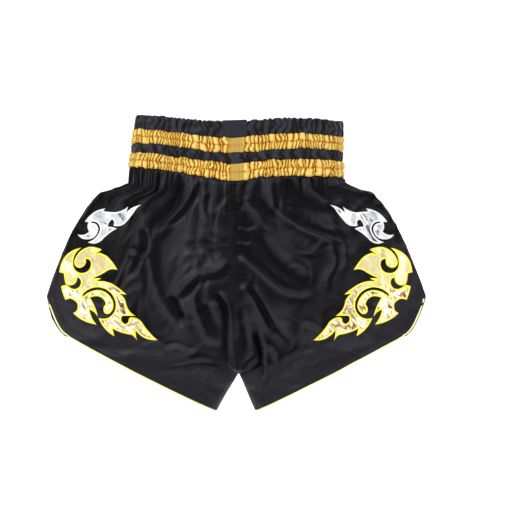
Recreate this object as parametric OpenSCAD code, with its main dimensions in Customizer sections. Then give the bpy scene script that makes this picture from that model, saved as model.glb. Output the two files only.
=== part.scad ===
// Boxing shorts in satin: a gathered elastic waistband with two gold ribbons, four body
// panels that flare to open side vents, a crotch gusset, piped hems, and flame
// applique in foil with stitched borders.
// Millimetres, +Z up. The origin is the middle of the waistband's top opening.
// -Y is the back of the shorts, +Y the front, -X the wearer's left.

/* [Waistband] */
// Width of the waistband from side to side, outside
waist_w = 273; // [228:1:328]
// Depth of the open waistband from back to front, outside
waist_d = 100; // [80:1:130]
// Height of the plain tunnel along the top edge
top_tunnel_h = 19; // [14:0.5:26]
// Height of the upper gold ribbon
upper_ribbon_h = 23; // [16:0.5:30]
// Height of the plain tunnel between the ribbons
middle_tunnel_h = 14; // [10:0.5:20]
// Height of the lower gold ribbon
lower_ribbon_h = 24; // [16:0.5:30]
// How far the middle of each tunnel and ribbon puffs out past its stitched edges
puff = 1.2; // [0.4:0.1:2]
// Thickness of the gathered cloth on the outside of the band
face_t = 1.6; // [1:0.1:2.4]
// Thickness of the elastic tapes inside the band
elastic_t = 1.2; // [0.8:0.1:2]
// Thickness of the lining against the wearer
lining_t = 1.2; // [0.8:0.1:2]

/* [Body] */
// Width across the two side vents' top corners, the widest place
hip_w = 488; // [400:1:586]
// Depth of the seat from back to front at its fullest
hip_d = 144; // [118:1:174]
// Depth that sets how round the legs are at the hem
leg_d = 132; // [100:1:160]
// Drop of the side seam from the waistband down to the vent
side_seam_h = 148; // [122:1:178]
// Drop of the centre seam from the waistband down to the crotch
rise_h = 245; // [204:1:294]
// Drop of the inseam from the crotch down to the hem
inseam_h = 50; // [40:1:62]
// How far the inseam runs sideways on its way down
inseam_run = 24.5; // [15:0.5:32]
// Drop of the vent from its top corner down to the hem
vent_h = 50; // [40:1:60]
// How far the hem's outer corner lies inside the vent's top corner
corner_in = 28; // [20:1:40]
// Width of the open vent from back to front at the hem
vent_gap = 44; // [24:1:56]
// Thickness of the satin with its backing
cloth_t = 1.6; // [1:0.1:2.4]
// Width of the crotch gusset from back to front
gusset_w = 36; // [24:1:50]

/* [Trim] */
// Diameter of the piping along the vents and hems
piping_d = 2.2; // [1.4:0.1:3]
// Width of the stitched border round each flame
border_w = 2; // [1.4:0.1:3]
// Thickness of the stitched border on top of the foil
border_t = 0.8; // [0.5:0.1:1.2]
// Thickness of the foil inside the border
foil_t = 0.5; // [0.3:0.1:0.8]
// Size of the flames, as a factor
flame_size = 1; // [0.84:0.01:1.1]
// Distance of the gold flame's middle from the vent's top corner, sideways
gold_in = 89; // [80:1:100]
// Height of the gold flame's middle above the vent's top corner
gold_up = 6; // [0:1:12]
// Distance of the white flame's middle from the vent's top corner, sideways
white_in = 83; // [76:1:92]
// Height of the white flame's middle above the gold flame's middle
white_up = 93; // [90:1:98]
// Distance between the two drawcord eyelets inside the front of the band
eyelet_apart = 36; // [24:1:60]
// Outer diameter of each drawcord eyelet
eyelet_d = 11; // [8:0.5:13]

/* [Fits] */
// Clearance between two pieces that are sewn edge to edge
seam_gap = 0.2; // [0.1:0.05:0.4]
// Clearance between a flame and the satin under it
skin_gap = 0.3; // [0.2:0.05:0.5]

/* [Hidden] */
SIDES = ["left", "right"];
FACES = ["back", "front"];
TAPES = ["top_elastic", "upper_elastic", "middle_elastic", "lower_elastic"];
PANEL_SETS = ["panel", "hem_piping", "gold_flame", "gold_flame_border",
    "white_flame", "white_flame_border"];

function piece_name(set, face, side) = str(face, "_", side, "_", set);

// Waistband rows, from the top edge down
row_heights = [top_tunnel_h, upper_ribbon_h, middle_tunnel_h, lower_ribbon_h];
function row_top(k) = k == 0 ? 0 : row_top(k - 1) - row_heights[k - 1];
band_bottom = row_top(3) - lower_ribbon_h;
// Depth of each layer below the band's outer face
elastic_in = face_t + seam_gap;
lining_in = elastic_in + elastic_t + seam_gap;
stitch_h = 2.5;      // stitched-down edge of a row, where it doesn't puff
tape_margin = 1.5;   // room above and below each elastic tape
oval_steps = 64;

// Body heights and shares
top_z = band_bottom - seam_gap;
crotch_z = top_z - rise_h;
vent_z = top_z - side_seam_h;
hip_half = hip_w / 2;
crotch_v = 0.815;    // share of a panel's length at which the crotch comes
vent_v = 0.77;       // share of a panel's length at which the vent starts
seat_v = 0.45;       // share of a panel's length at which the seat is fullest
gusset_end_v = (crotch_v + 1) / 2;
gusset_gap = seam_gap + cloth_t / 4;   // its seams slant, so they need more room
side_curve = 0.445;  // lower values round the hip more
row_crowding = 1.6;  // crowds a panel's rows together under the band
column_count = 12;

gold_place = [hip_half - gold_in, vent_z + gold_up];
white_place = [hip_half - white_in, vent_z + gold_up + white_up];

// Flame outlines round their own middles, clockwise. Each point is [across, up, bow]:
// bow is how far the line on to the next point curves outwards.
GOLD_FLAME = [
    [16, 55.5, 1.2], [33, 59, 3.4], [52, 42.5, 3.4], [45.5, 32, 3.6], [37, 44, -2.4],
    [30, 36.5, -3.3], [41.5, 25.5, -3.1], [54, 35.5, -3.6], [43.5, 58, 8.3],
    [72, 26.5, 0], [66, 25, 0.5], [63.5, 12, 1.8], [52.5, 11, 1.4], [48.5, 20, -2],
    [43, 12.5, -2.5], [52.5, 5, -0.9], [62, 10.5, 0.3], [69.5, 8.5, 0.7],
    [63.5, -9, -2.4], [50.5, -10.5, -1.2], [47, -17.5, -1.9], [53, -25.5, 2.9],
    [22, -40, -1.5], [31.5, -21, -1.5], [20.5, -30, 1.6], [31, -6, -0.8],
    [20, -4, -2.4], [10, -14.5, 0.9], [13, -21.5, 2.6], [5, -26, 2.6],
    [0.5, -11, 3.8], [20, 4, 2.1], [40, -4.5, 0], [41, -2, -2.5], [20, 7.5, -4.8],
    [-3, -11, -3.4], [5, -30.5, -1.5], [19, -31.5, 2.8], [-1.5, -54.5, 0],
    [1, -44.5, 1.4], [-23.5, -52.5, -0.8], [-30.5, -60, -0.5], [-28.5, -46.5, 4.4],
    [-56.5, -59, -1], [-38.5, -39.5, 2.3], [-24.5, -30.5, 0.8], [-20, -32.5, -1.6],
    [-15.5, -39, -2], [-10.5, -30.5, 0], [-12, -28.5, 0], [-28.5, -28.5, -2.2],
    [-16.5, -13, 2], [-7.5, -0.5, 0], [-17, -1.5, 0.5], [0, 11, 1.9], [23, 15, 0],
    [16, 19, 0], [27.5, 19, 0.6], [10, 27.5, -2], [-5, 29.5, 0.8], [8, 46.5, 0.6],
    [19.5, 51.5, 0], [25.5, 49, 0]];
WHITE_FLAME = [
    [-41, 19, 2.2], [-22, 9.5, -0.3], [-24, 17, -1.3], [-8, 10, -0.2], [9, 11.5, 0],
    [6, 15, 4.2], [33.5, -2, -0.5], [28, -3, 0.7], [29.5, -9, 0.5], [27, -14.5, -2.2],
    [42.5, -18, 1.9], [30.5, -24.5, 4.3], [15, -11.5, 2.9], [25, -3.5, 0],
    [24, -1.5, -3.4], [12.5, -11.5, -3.4], [29, -28, 3], [10.5, -26, -1.2],
    [-9.5, -11, 0.7], [2.5, -8.5, -1.4], [-3, 1, -2.2], [-5, -7, 2], [-20, -4.5, 0.4],
    [-32.5, 11, -1]];

// ---- Small helpers ----

function mix(a, b, t) = a + (b - a) * t;
function clamped(t) = max(0, min(1, t));
function eased(t) = let (c = clamped(t)) c * c * (3 - 2 * c);
function unit(vec) = vec / norm(vec);

// ---- Waistband ----

// Oval of the band, moved inwards by inset
function oval(inset) = [for (i = [0 : oval_steps - 1])
    let (a = 360 * i / oval_steps)
    [(waist_w / 2 - inset) * cos(a), (waist_d / 2 - inset) * sin(a)]];

// Closed ring that follows the band
module band_ring(z_low, z_high, inset, thickness) {
    translate([0, 0, z_low])
        linear_extrude(height = z_high - z_low)
            difference() {
                polygon(oval(inset));
                polygon(oval(inset + thickness));
            }
}

// One gathered row of the band's face: stitched edges with a puffed middle
module gathered_row(k) {
    high = row_top(k) - (k == 0 ? 0 : seam_gap / 2);
    low = row_top(k) - row_heights[k] + (k == 3 ? 0 : seam_gap / 2);
    band_ring(low, low + stitch_h, 0, face_t);
    band_ring(high - stitch_h, high, 0, face_t);
    band_ring(low + stitch_h, high - stitch_h, -puff, face_t + puff);
}

module top_tunnel() {
    color([0.17, 0.17, 0.2]) {
        gathered_row(0);
        // The cloth folds over the top edge, above the tape and the lining
        band_ring(-face_t, 0, 0, lining_in + lining_t);
    }
}

module upper_gold_ribbon() { color([0.85, 0.66, 0.27]) gathered_row(1); }

module middle_tunnel() { color([0.14, 0.14, 0.16]) gathered_row(2); }

module lower_gold_ribbon() { color([0.85, 0.66, 0.27]) gathered_row(3); }

module elastic_tape(k) {
    high = row_top(k) - tape_margin - (k == 0 ? face_t : 0);
    color([0.9, 0.9, 0.88])
        band_ring(row_top(k) - row_heights[k] + tape_margin, high, elastic_in, elastic_t);
}

module waistband_lining() {
    color([0.1, 0.1, 0.11])
        band_ring(band_bottom, -face_t - seam_gap, lining_in, lining_t);
}

// Two eyelets on the lining at the front, in line with the middle tunnel
module drawcord_eyelets() {
    eyelet_h = 0.8;
    hole_d = eyelet_d - 5;
    inner_in = lining_in + lining_t;
    far_x = eyelet_apart / 2 + eyelet_d / 2;
    wall_y = (waist_d / 2 - inner_in) * sqrt(1 - pow(far_x / (waist_w / 2 - inner_in), 2));
    for (side = [-1, 1])
        translate([side * eyelet_apart / 2, wall_y - seam_gap,
            row_top(2) - middle_tunnel_h / 2])
            rotate([90, 0, 0])
                color([0.12, 0.12, 0.13])
                    difference() {
                        cylinder(h = eyelet_h, d = eyelet_d, $fn = 40);
                        translate([0, 0, -1])
                            cylinder(h = eyelet_h + 2, d = hole_d, $fn = 40);
                    }
}

// ---- Body panels ----
// A panel's face is a function of u, from the centre seam or inseam (0) to the side
// seam or vent (1), and v, from the waistband (0) to the hem (1). It is written for
// the back panel at +X, and the other three are its mirror images.

// Centre seam down to the crotch, then the inseam, as [x, z]
function inner_edge(v) = v < crotch_v
    ? [0, mix(top_z, crotch_z, v / crotch_v)]
    : let (t = (v - crotch_v) / (1 - crotch_v)) [inseam_run * t, crotch_z - inseam_h * t];

// Side seam down to the vent, then the vent's edge round to the hem, as [x, z]
function outer_edge(v) = v < vent_v
    ? let (t = pow(v / vent_v, row_crowding))
        [mix(waist_w / 2, hip_half, pow(t, side_curve)), mix(top_z, vent_z, t)]
    : let (t = (v - vent_v) / (1 - vent_v))
        [hip_half, vent_z] * pow(1 - t, 2)
        + [hip_half - corner_in / 5, vent_z - 0.76 * vent_h] * 2 * t * (1 - t)
        + [hip_half - corner_in, vent_z - vent_h] * t * t;

// Half the gusset's width beside the inseam
function gusset_half(v) = gusset_w / 2 * clamped((gusset_end_v - v) / (gusset_end_v - crotch_v));

// Half the depth of the shorts, before the sides and the legs are rounded off
function half_depth(v) = v < seat_v
    ? mix(waist_d / 2, hip_d / 2, eased(v / seat_v))
    : mix(hip_d / 2, leg_d / 2, eased((v - seat_v) / (1 - seat_v)));

// Share of the half depth that is left at the centre seam and the inseam
function centre_share(v) =
    let (s = clamped((v - seat_v) / (crotch_v - seat_v)), g = gusset_half(v) / half_depth(v))
    g + (1 - g) * pow(1 - s * s, 0.7);

function depth(u, v) =
    let (sharpness = mix(0.5, 0.9, eased(v / 0.35)),
        k = centre_share(v),
        leg_round = pow(1 - pow(1 - u, 2.2), 0.6),
        vent_open = pow(clamped((v - vent_v) / (1 - vent_v)), 0.7))
    half_depth(v) * pow(1 - u * u, sharpness) * (k + (1 - k) * leg_round)
        + vent_gap / 2 * vent_open * pow(u, 4);

function face_point(u, v) =
    let (p = mix(inner_edge(v), outer_edge(v), u))
    [p[0], -depth(u, v), p[1]];

// Outward normal, taken a little inside the panel's edges
function face_normal(u, v) =
    let (step = 0.01, a = max(0.02, min(0.97, u)), b = max(0.02, min(0.98, v)),
        across = face_point(a + step, b) - face_point(a - step, b),
        down = face_point(a, b + step) - face_point(a, b - step))
    -unit(cross(across, down));

// Nearest that a panel's cloth comes to the plane between back and front
function edge_depth(u, v) = (u == 0 && v >= crotch_v)
    ? max(seam_gap / 2, gusset_half(v)) : seam_gap / 2;

// Point at a height above the panel's face, kept on its own side of the seams
function cloth_point(u, v, height) =
    let (p = face_point(u, v) + height * face_normal(u, v))
    [max(p[0], seam_gap / 2), min(p[1], -edge_depth(u, v)), p[2]];

columns = [for (i = [0 : column_count]) (1 - cos(180 * i / column_count)) / 2];
rows = concat(
    [for (j = [0 : 10]) vent_v * j / 10],
    [for (j = [0 : 4]) mix(crotch_v, 1, j / 4)]);

// Closed sheet between two heights above the panel's face
module cloth_sheet(low, high) {
    n = len(columns);
    m = len(rows);
    points = [for (height = [high, low], v = rows, u = columns) cloth_point(u, v, height)];
    function at(layer, j, i) = layer * n * m + j * n + i;
    polyhedron(points, concat(
        [for (j = [0 : m - 2], i = [0 : n - 2], f = [0, 1]) f == 0
            ? [at(0, j, i), at(0, j, i + 1), at(0, j + 1, i + 1)]
            : [at(0, j, i), at(0, j + 1, i + 1), at(0, j + 1, i)]],
        [for (j = [0 : m - 2], i = [0 : n - 2], f = [0, 1]) f == 0
            ? [at(1, j, i), at(1, j + 1, i + 1), at(1, j, i + 1)]
            : [at(1, j, i), at(1, j + 1, i), at(1, j + 1, i + 1)]],
        [for (i = [0 : n - 2], f = [0, 1]) f == 0
            ? [at(0, 0, i), at(1, 0, i), at(1, 0, i + 1)]
            : [at(0, 0, i), at(1, 0, i + 1), at(0, 0, i + 1)]],
        [for (i = [0 : n - 2], f = [0, 1]) f == 0
            ? [at(0, m - 1, i), at(1, m - 1, i + 1), at(1, m - 1, i)]
            : [at(0, m - 1, i), at(0, m - 1, i + 1), at(1, m - 1, i + 1)]],
        [for (j = [0 : m - 2], f = [0, 1]) f == 0
            ? [at(0, j, 0), at(1, j + 1, 0), at(1, j, 0)]
            : [at(0, j, 0), at(0, j + 1, 0), at(1, j + 1, 0)]],
        [for (j = [0 : m - 2], f = [0, 1]) f == 0
            ? [at(0, j, n - 1), at(1, j, n - 1), at(1, j + 1, n - 1)]
            : [at(0, j, n - 1), at(1, j + 1, n - 1), at(0, j + 1, n - 1)]]));
}

module panel() { color([0.11, 0.11, 0.12]) cloth_sheet(-cloth_t, 0); }

// Saddle between the legs: a strip folded over the crotch and down both inseams
module crotch_gusset() {
    reach = 0.85;    // share of the gusset's length before its ends are cut blunt
    stations = [-1, -0.66, -0.33, 0, 0.33, 0.66, 1] * reach;
    function v_at(s) = mix(crotch_v, gusset_end_v, abs(s));
    function outer_at(s) = [sign(s) * inner_edge(v_at(s))[0], inner_edge(v_at(s))[1]];
    lift = cloth_t * unit([inseam_h, inseam_run]);
    function inner_at(s) = s == 0
        ? [0, crotch_z + cloth_t * norm([inseam_h, inseam_run]) / inseam_run]
        : outer_at(s) + [sign(s) * lift[0], lift[1]];
    function rail(s, y) = [for (p = [outer_at(s), inner_at(s)]) [p[0], y, p[1]]];
    points = [for (s = stations) let (half = gusset_half(v_at(s)) - gusset_gap)
        each concat(rail(s, -half), rail(s, half))];
    last = 4 * (len(stations) - 1);
    color([0.09, 0.09, 0.1])
        polyhedron(points, concat(
            [for (k = [0 : len(stations) - 2], f = [[0, 1], [1, 3], [3, 2], [2, 0]], half = [0, 1])
                let (a = 4 * k + f[0], b = 4 * k + f[1])
                half == 0 ? [a, b, b + 4] : [a, b + 4, a + 4]],
            [[0, 2, 3], [0, 3, 1]],
            [[last, last + 1, last + 3], [last, last + 3, last + 2]]));
}

// ---- Trim ----

// Piping beyond the panel's free edge, from the top of the vent round to the inseam
module hem_piping() {
    sides = 6;
    radius = piping_d / 2;
    route = concat(
        [for (t = [0.1, 0.25, 0.4, 0.55, 0.7, 0.85]) [1, mix(vent_v, 1, t)]],
        [for (u = [1, 0.96, 0.9, 0.8, 0.7, 0.6, 0.5, 0.4, 0.3, 0.2, 0.12, 0.06, 0.02]) [u, 1]]);
    middles = [for (r = route)
        face_point(r[0], r[1]) - cloth_t / 2 * face_normal(r[0], r[1])];
    count = len(route);
    rings = [for (k = [0 : count - 1])
        let (along = unit(middles[min(k + 1, count - 1)] - middles[max(k - 1, 0)]),
            up = face_normal(route[k][0], route[k][1]),
            out = unit(cross(up, along)),
            flat_up = cross(along, out),
            centre = middles[k] + out * (radius + cloth_t / 2 + seam_gap))
        for (s = [0 : sides - 1])
            centre + radius * (cos(360 * s / sides) * out + sin(360 * s / sides) * flat_up)];
    color([0.98, 0.93, 0.68])
        polyhedron(rings, concat(
            [for (k = [0 : count - 2], s = [0 : sides - 1], half = [0, 1])
                let (a = k * sides + s, b = k * sides + (s + 1) % sides)
                half == 0 ? [a, b + sides, b] : [a, a + sides, b + sides]],
            [[for (s = [0 : sides - 1]) s]],
            [[for (s = [sides - 1 : -1 : 0]) (count - 1) * sides + s]]));
}

// Outline with each of its lines bowed by the third number of its first point
function bowed(outline) = [for (k = [0 : len(outline) - 1])
    let (p = outline[k], q = outline[(k + 1) % len(outline)],
        a = [p[0], p[1]], line = [q[0], q[1]] - a, out = [-line[1], line[0]] / norm(line),
        steps = abs(p[2]) < 0.6 ? 1 : abs(p[2]) < 2.5 ? 2 : 3)
    for (i = [0 : steps - 1])
        let (t = i / steps) a + t * line + 4 * t * (1 - t) * p[2] * out];

// Part of a sheet on the panel that lies behind a flat outline
module on_panel(place, low, high) {
    intersection() {
        rotate([90, 0, 0])
            linear_extrude(height = hip_d)
                translate(place)
                    children();
        cloth_sheet(low, high);
    }
}

module flame_outline(outline) { polygon(bowed(outline) * flame_size); }

// The foil lies under the middle of its stitched border, all in one piece
module flame_foil(outline, place) {
    on_panel(place, skin_gap, skin_gap + foil_t)
        offset(delta = -border_w / 2) flame_outline(outline);
}

module flame_border(outline, place) {
    border_low = skin_gap + foil_t + seam_gap;
    on_panel(place, border_low, border_low + border_t)
        difference() {
            flame_outline(outline);
            offset(delta = -border_w) flame_outline(outline);
        }
}

module panel_piece(set) {
    if (set == "panel") panel();
    if (set == "hem_piping") hem_piping();
    if (set == "gold_flame") color([0.9, 0.8, 0.5]) flame_foil(GOLD_FLAME, gold_place);
    if (set == "gold_flame_border") color([1, 0.87, 0.2]) flame_border(GOLD_FLAME, gold_place);
    if (set == "white_flame") color([0.9, 0.9, 0.92]) flame_foil(WHITE_FLAME, white_place);
    if (set == "white_flame_border") color([1, 1, 1]) flame_border(WHITE_FLAME, white_place);
}

// Puts a piece made for the back at +X on its own face and side
module mirrored_to(face, side) {
    mirror([0, face == "front" ? 1 : 0, 0])
        mirror([side == "left" ? 1 : 0, 0, 0])
            children();
}

waistband_lining();
top_tunnel();
upper_gold_ribbon();
middle_tunnel();
lower_gold_ribbon();
drawcord_eyelets();
crotch_gusset();
for (k = [0 : 3]) {
    elastic_tape(k);
}
for (set = PANEL_SETS, face = FACES, side = SIDES) {
    mirrored_to(face, side) panel_piece(set);
}
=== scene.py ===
"""Satin boxing shorts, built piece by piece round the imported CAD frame."""

import math

import bmesh
import bpy
import numpy as np
from bpy.props import FloatProperty, FloatVectorProperty, IntProperty, PointerProperty
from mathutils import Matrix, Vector
from mathutils.bvhtree import BVHTree
from mathutils.geometry import delaunay_2d_cdt


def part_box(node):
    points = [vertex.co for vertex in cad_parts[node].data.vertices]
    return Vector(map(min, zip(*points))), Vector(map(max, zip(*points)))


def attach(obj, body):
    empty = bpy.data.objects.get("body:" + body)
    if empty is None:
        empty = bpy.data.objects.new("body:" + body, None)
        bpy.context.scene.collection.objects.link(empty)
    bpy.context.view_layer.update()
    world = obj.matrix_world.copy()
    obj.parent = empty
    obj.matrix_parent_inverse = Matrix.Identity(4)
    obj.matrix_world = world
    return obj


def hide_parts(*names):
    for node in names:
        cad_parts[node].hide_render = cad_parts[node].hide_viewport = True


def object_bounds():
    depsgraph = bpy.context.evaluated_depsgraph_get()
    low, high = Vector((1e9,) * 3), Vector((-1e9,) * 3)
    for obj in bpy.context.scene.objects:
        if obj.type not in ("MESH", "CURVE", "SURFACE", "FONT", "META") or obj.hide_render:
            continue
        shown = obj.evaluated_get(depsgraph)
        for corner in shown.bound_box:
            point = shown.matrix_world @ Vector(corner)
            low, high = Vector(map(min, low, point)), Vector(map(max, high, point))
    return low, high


bl_info = {
    "name": "Boxing Shorts",
    "version": (1, 0, 0),
    "blender": (4, 5, 0),
    "location": "3D View > Sidebar > Shorts",
    "description": "Builds a pair of gathered satin boxing shorts",
    "category": "Add Mesh",
}

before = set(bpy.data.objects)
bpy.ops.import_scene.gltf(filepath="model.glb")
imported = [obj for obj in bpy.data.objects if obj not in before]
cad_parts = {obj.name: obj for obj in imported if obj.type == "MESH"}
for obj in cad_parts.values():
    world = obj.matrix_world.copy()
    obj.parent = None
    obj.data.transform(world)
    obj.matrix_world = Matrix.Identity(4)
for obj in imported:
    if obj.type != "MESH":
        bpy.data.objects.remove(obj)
CAD_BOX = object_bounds()
MM = 0.001
BODY = "root"

# ---- Places taken from the frame ----

PUFF = 1.2 * MM  # how far the CAD rows puff out past the band's own oval
BAND_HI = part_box("top_tunnel")[1]
BAND_HALF_W = BAND_HI.x - PUFF
BAND_HALF_D = BAND_HI.y - PUFF
ROW_NODES = ("top_tunnel", "upper_gold_ribbon", "middle_tunnel", "lower_gold_ribbon")
ROW_TOPS = [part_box(name)[1].z for name in ROW_NODES]
BAND_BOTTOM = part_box("lower_gold_ribbon")[0].z
PANEL_LO, PANEL_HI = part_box("back_right_panel")
PANEL_TOP = PANEL_HI.z
PANEL_NODES = {(face, side): f"{face}_{side}" for face in ("back", "front")
               for side in ("left", "right")}


class BandSizes(bpy.types.PropertyGroup):
    """Sizes of the gathered waistband."""
    rib_pitch: FloatProperty(
        name="Rib Pitch", description="Mean width of a gathered rib in the gold ribbons",
        default=5.0 * MM, unit="LENGTH")
    rib_height: FloatProperty(
        name="Rib Height", description="How far a gold rib stands out of its valley",
        default=3.0 * MM, unit="LENGTH")
    tunnel_height: FloatProperty(
        name="Tunnel Height", description="How far the black tunnels' gathers stand out",
        default=2.8 * MM, unit="LENGTH")
    scallop: FloatProperty(
        name="Scallop", description="Depth of the notches along the top edge",
        default=2.8 * MM, unit="LENGTH")
    samples: IntProperty(
        name="Samples", description="Points round the band", default=1400)


class BodySizes(bpy.types.PropertyGroup):
    """Sizes of the four body panels."""
    hip_width: FloatProperty(
        name="Hip Width", description="Width across the vents' top corners",
        default=2 * PANEL_HI.x, unit="LENGTH")
    hip_depth: FloatProperty(
        name="Hip Depth", description="Depth of the seat at its fullest",
        default=144 * MM, unit="LENGTH")
    leg_depth: FloatProperty(
        name="Leg Depth", description="Depth that sets how round the legs are",
        default=132 * MM, unit="LENGTH")
    side_seam: FloatProperty(
        name="Side Seam", description="Drop of the side seam down to the vent",
        default=148 * MM, unit="LENGTH")
    rise: FloatProperty(
        name="Rise", description="Drop of the centre seam down to the crotch",
        default=245 * MM, unit="LENGTH")
    inseam_drop: FloatProperty(
        name="Inseam Drop", description="Drop of the inseam from crotch to hem",
        default=50 * MM, unit="LENGTH")
    inseam_run: FloatProperty(
        name="Inseam Run", description="How far the inseam runs sideways",
        default=24.5 * MM, unit="LENGTH")
    vent_drop: FloatProperty(
        name="Vent Drop", description="Drop of the vent down to the hem's corner",
        default=50 * MM, unit="LENGTH")
    corner_in: FloatProperty(
        name="Corner In", description="How far the hem's corner lies inside the vent's top",
        default=28 * MM, unit="LENGTH")
    vent_gap: FloatProperty(
        name="Vent Gap", description="Width of the open vent at the hem",
        default=44 * MM, unit="LENGTH")
    gusset_width: FloatProperty(
        name="Gusset Width", description="Width of the crotch gusset",
        default=36 * MM, unit="LENGTH")
    cloth: FloatProperty(
        name="Cloth", description="Thickness of the satin with its backing",
        default=0.8 * MM, unit="LENGTH")
    fold_limit: FloatProperty(
        name="Fold Limit", description="Furthest that a draped fold may move the cloth",
        default=8 * MM, unit="LENGTH")
    fullness: FloatProperty(
        name="Fullness", description="Share of extra cloth gathered into the band",
        default=0.11, subtype="FACTOR")


class TrimSizes(bpy.types.PropertyGroup):
    """Sizes of the piping, the flames and the stitching."""
    piping: FloatProperty(
        name="Piping", description="Diameter of the piping on vents and hems",
        default=2.2 * MM, unit="LENGTH")
    border: FloatProperty(
        name="Border", description="Width of the stitched border round a flame",
        default=2.1 * MM, unit="LENGTH")
    border_height: FloatProperty(
        name="Border Height", description="Height of the stitched border",
        default=1.0 * MM, unit="LENGTH")
    stitch: FloatProperty(
        name="Stitch", description="Length of one topstitch",
        default=2.4 * MM, unit="LENGTH")


class Colours(bpy.types.PropertyGroup):
    """Colours of the cloths and foils, linear."""
    satin: FloatVectorProperty(
        name="Satin", description="Black body satin", subtype="COLOR",
        default=(0.0024, 0.0023, 0.0034))
    # Gold Ridge is the gold with a painted highlight and Gold Valley the gold with painted shade;
    # the ribbon's colour runs between them with the ribs' rise
    gold_ridge_painted_highlight: FloatVectorProperty(
        name="Gold Ridge", description="Gold satin on top of a rib", subtype="COLOR",
        default=(0.57, 0.43, 0.11))
    gold_valley_painted_shade: FloatVectorProperty(
        name="Gold Valley", description="Gold satin down in a valley", subtype="COLOR",
        default=(0.07, 0.018, 0.003))
    border_yellow: FloatVectorProperty(
        name="Border Yellow", description="Thread round the gold flames", subtype="COLOR",
        default=(1.0, 0.86, 0.05))
    piping: FloatVectorProperty(
        name="Piping", description="Pale piping satin", subtype="COLOR",
        default=(0.85, 0.75, 0.3))


# ---- Small helpers ----

def mix(a, b, t):
    return a + (b - a) * t


def clamped(t):
    return np.clip(t, 0.0, 1.0)


def eased(t):
    c = clamped(t)
    return c * c * (3 - 2 * c)


def bell(t):
    """One at zero, falling smoothly to nothing by about two."""
    return np.exp(-np.square(t))


def unit_rows(vectors):
    """Each vector at length one."""
    return vectors / np.maximum(np.linalg.norm(vectors, axis=-1, keepdims=True), 1e-12)


def soft_noise(x, y, seed, waves=8):
    """Smooth noise from about -1 to 1 whose bumps are about one unit across."""
    rng = np.random.default_rng(seed)
    total = np.zeros(np.broadcast(x, y).shape)
    for _ in range(waves):
        angle = rng.uniform(0, math.tau)
        phase = rng.uniform(0, math.tau)
        pace = rng.uniform(0.5, 1.1) * math.pi
        total += np.sin(pace * (x * math.cos(angle) + y * math.sin(angle)) + phase)
    return total / math.sqrt(waves)


def curve_between(a, b, c, d, t):
    """Point from b to c on the smooth curve through four evenly spaced ones."""
    return 0.5 * (2 * b + (c - a) * t + (2 * a - 5 * b + 4 * c - d) * t ** 2
                  + (3 * b - a - 3 * c + d) * t ** 3)


def run_along(path):
    """Length run along a path up to each of its points."""
    return np.concatenate([[0], np.cumsum(np.linalg.norm(np.diff(path, axis=0), axis=1))])


def smooth_line(points, steps=10):
    """Points along a smooth curve through a few chosen ones."""
    p = np.array(points, float)
    p = np.vstack([2 * p[0] - p[1], p, 2 * p[-1] - p[-2]])
    found = []
    for k in range(1, len(p) - 2):
        for t in np.arange(steps) / steps:
            found.append(curve_between(*p[k - 1:k + 3], t))
    found.append(p[-2])
    return np.array(found)


def near_line(points, line):
    """Signed distance of flat points from a line, and how far along it they are, 0 to 1."""
    best = np.full(len(points), 1e9)
    signed = np.zeros(len(points))
    share = np.zeros(len(points))
    ends = run_along(line)
    for k, (a, b) in enumerate(zip(line[:-1], line[1:])):
        ab = b - a
        t = clamped(((points - a) @ ab) / (ab @ ab))
        away = points - (a + t[:, None] * ab)
        gap = np.linalg.norm(away, axis=1)
        closer = gap < best
        side = np.sign(ab[0] * away[:, 1] - ab[1] * away[:, 0])
        best[closer] = gap[closer]
        signed[closer] = (gap * side)[closer]
        share[closer] = (mix(ends[k], ends[k + 1], t) / ends[-1])[closer]
    return signed, share


def refine(grid, rows, cols):
    """A coarse grid of vectors, resampled smoothly to more rows and columns."""
    def along(values, count):
        n = len(values)
        place = np.linspace(0, n - 1, count)
        k = np.minimum(place.astype(int), n - 2)
        t = (place - k).reshape((-1,) + (1,) * (values.ndim - 1))
        return curve_between(values[np.maximum(k - 1, 0)], values[k], values[k + 1],
                             values[np.minimum(k + 2, n - 1)], t)
    return np.swapaxes(along(np.swapaxes(along(grid, rows), 0, 1), cols), 0, 1)


def grid_faces(rows, cols, start=0, wrap_rows=False, wrap_cols=False):
    """Four-sided faces of a grid of points, numbered row by row."""
    r = np.arange(rows if wrap_rows else rows - 1)[:, None]
    c = np.arange(cols if wrap_cols else cols - 1)[None, :]
    r2 = (r + 1) % rows
    c2 = (c + 1) % cols
    quads = np.stack([r * cols + c, r * cols + c2, r2 * cols + c2, r2 * cols + c], axis=-1)
    return start + quads.reshape(-1, 4)


SHARP_ANGLE = 1.25  # edges bent by more than this stay sharp


def make_piece(name, points, faces, materials, attributes=None, face_slots=None):
    """A smooth mesh piece that rides on the body, with its outsides facing out."""
    mesh = bpy.data.meshes.new(name)
    mesh.from_pydata(np.asarray(points).reshape(-1, 3).tolist(), [], [list(f) for f in faces])
    for label, values in (attributes or {}).items():
        layer = mesh.attributes.new(label, "FLOAT", "POINT")
        layer.data.foreach_set("value", np.asarray(values, np.float32).ravel())
    for material in materials:
        mesh.materials.append(material)
    if face_slots is not None:
        mesh.polygons.foreach_set("material_index", np.asarray(face_slots, np.int32))
    shape = bmesh.new()
    shape.from_mesh(mesh)
    bmesh.ops.recalc_face_normals(shape, faces=shape.faces)
    for edge in shape.edges:
        edge.smooth = edge.calc_face_angle(0.0) < SHARP_ANGLE
    shape.to_mesh(mesh)
    shape.free()
    mesh.shade_smooth()
    piece = bpy.data.objects.new(name, mesh)
    bpy.context.collection.objects.link(piece)
    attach(piece, BODY)
    return piece


def grid_normals(grid):
    """Unit normals of a grid, from its columns and rows."""
    across = np.gradient(grid, axis=1)
    down = np.gradient(grid, axis=0)
    return unit_rows(np.cross(across, down))


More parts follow.
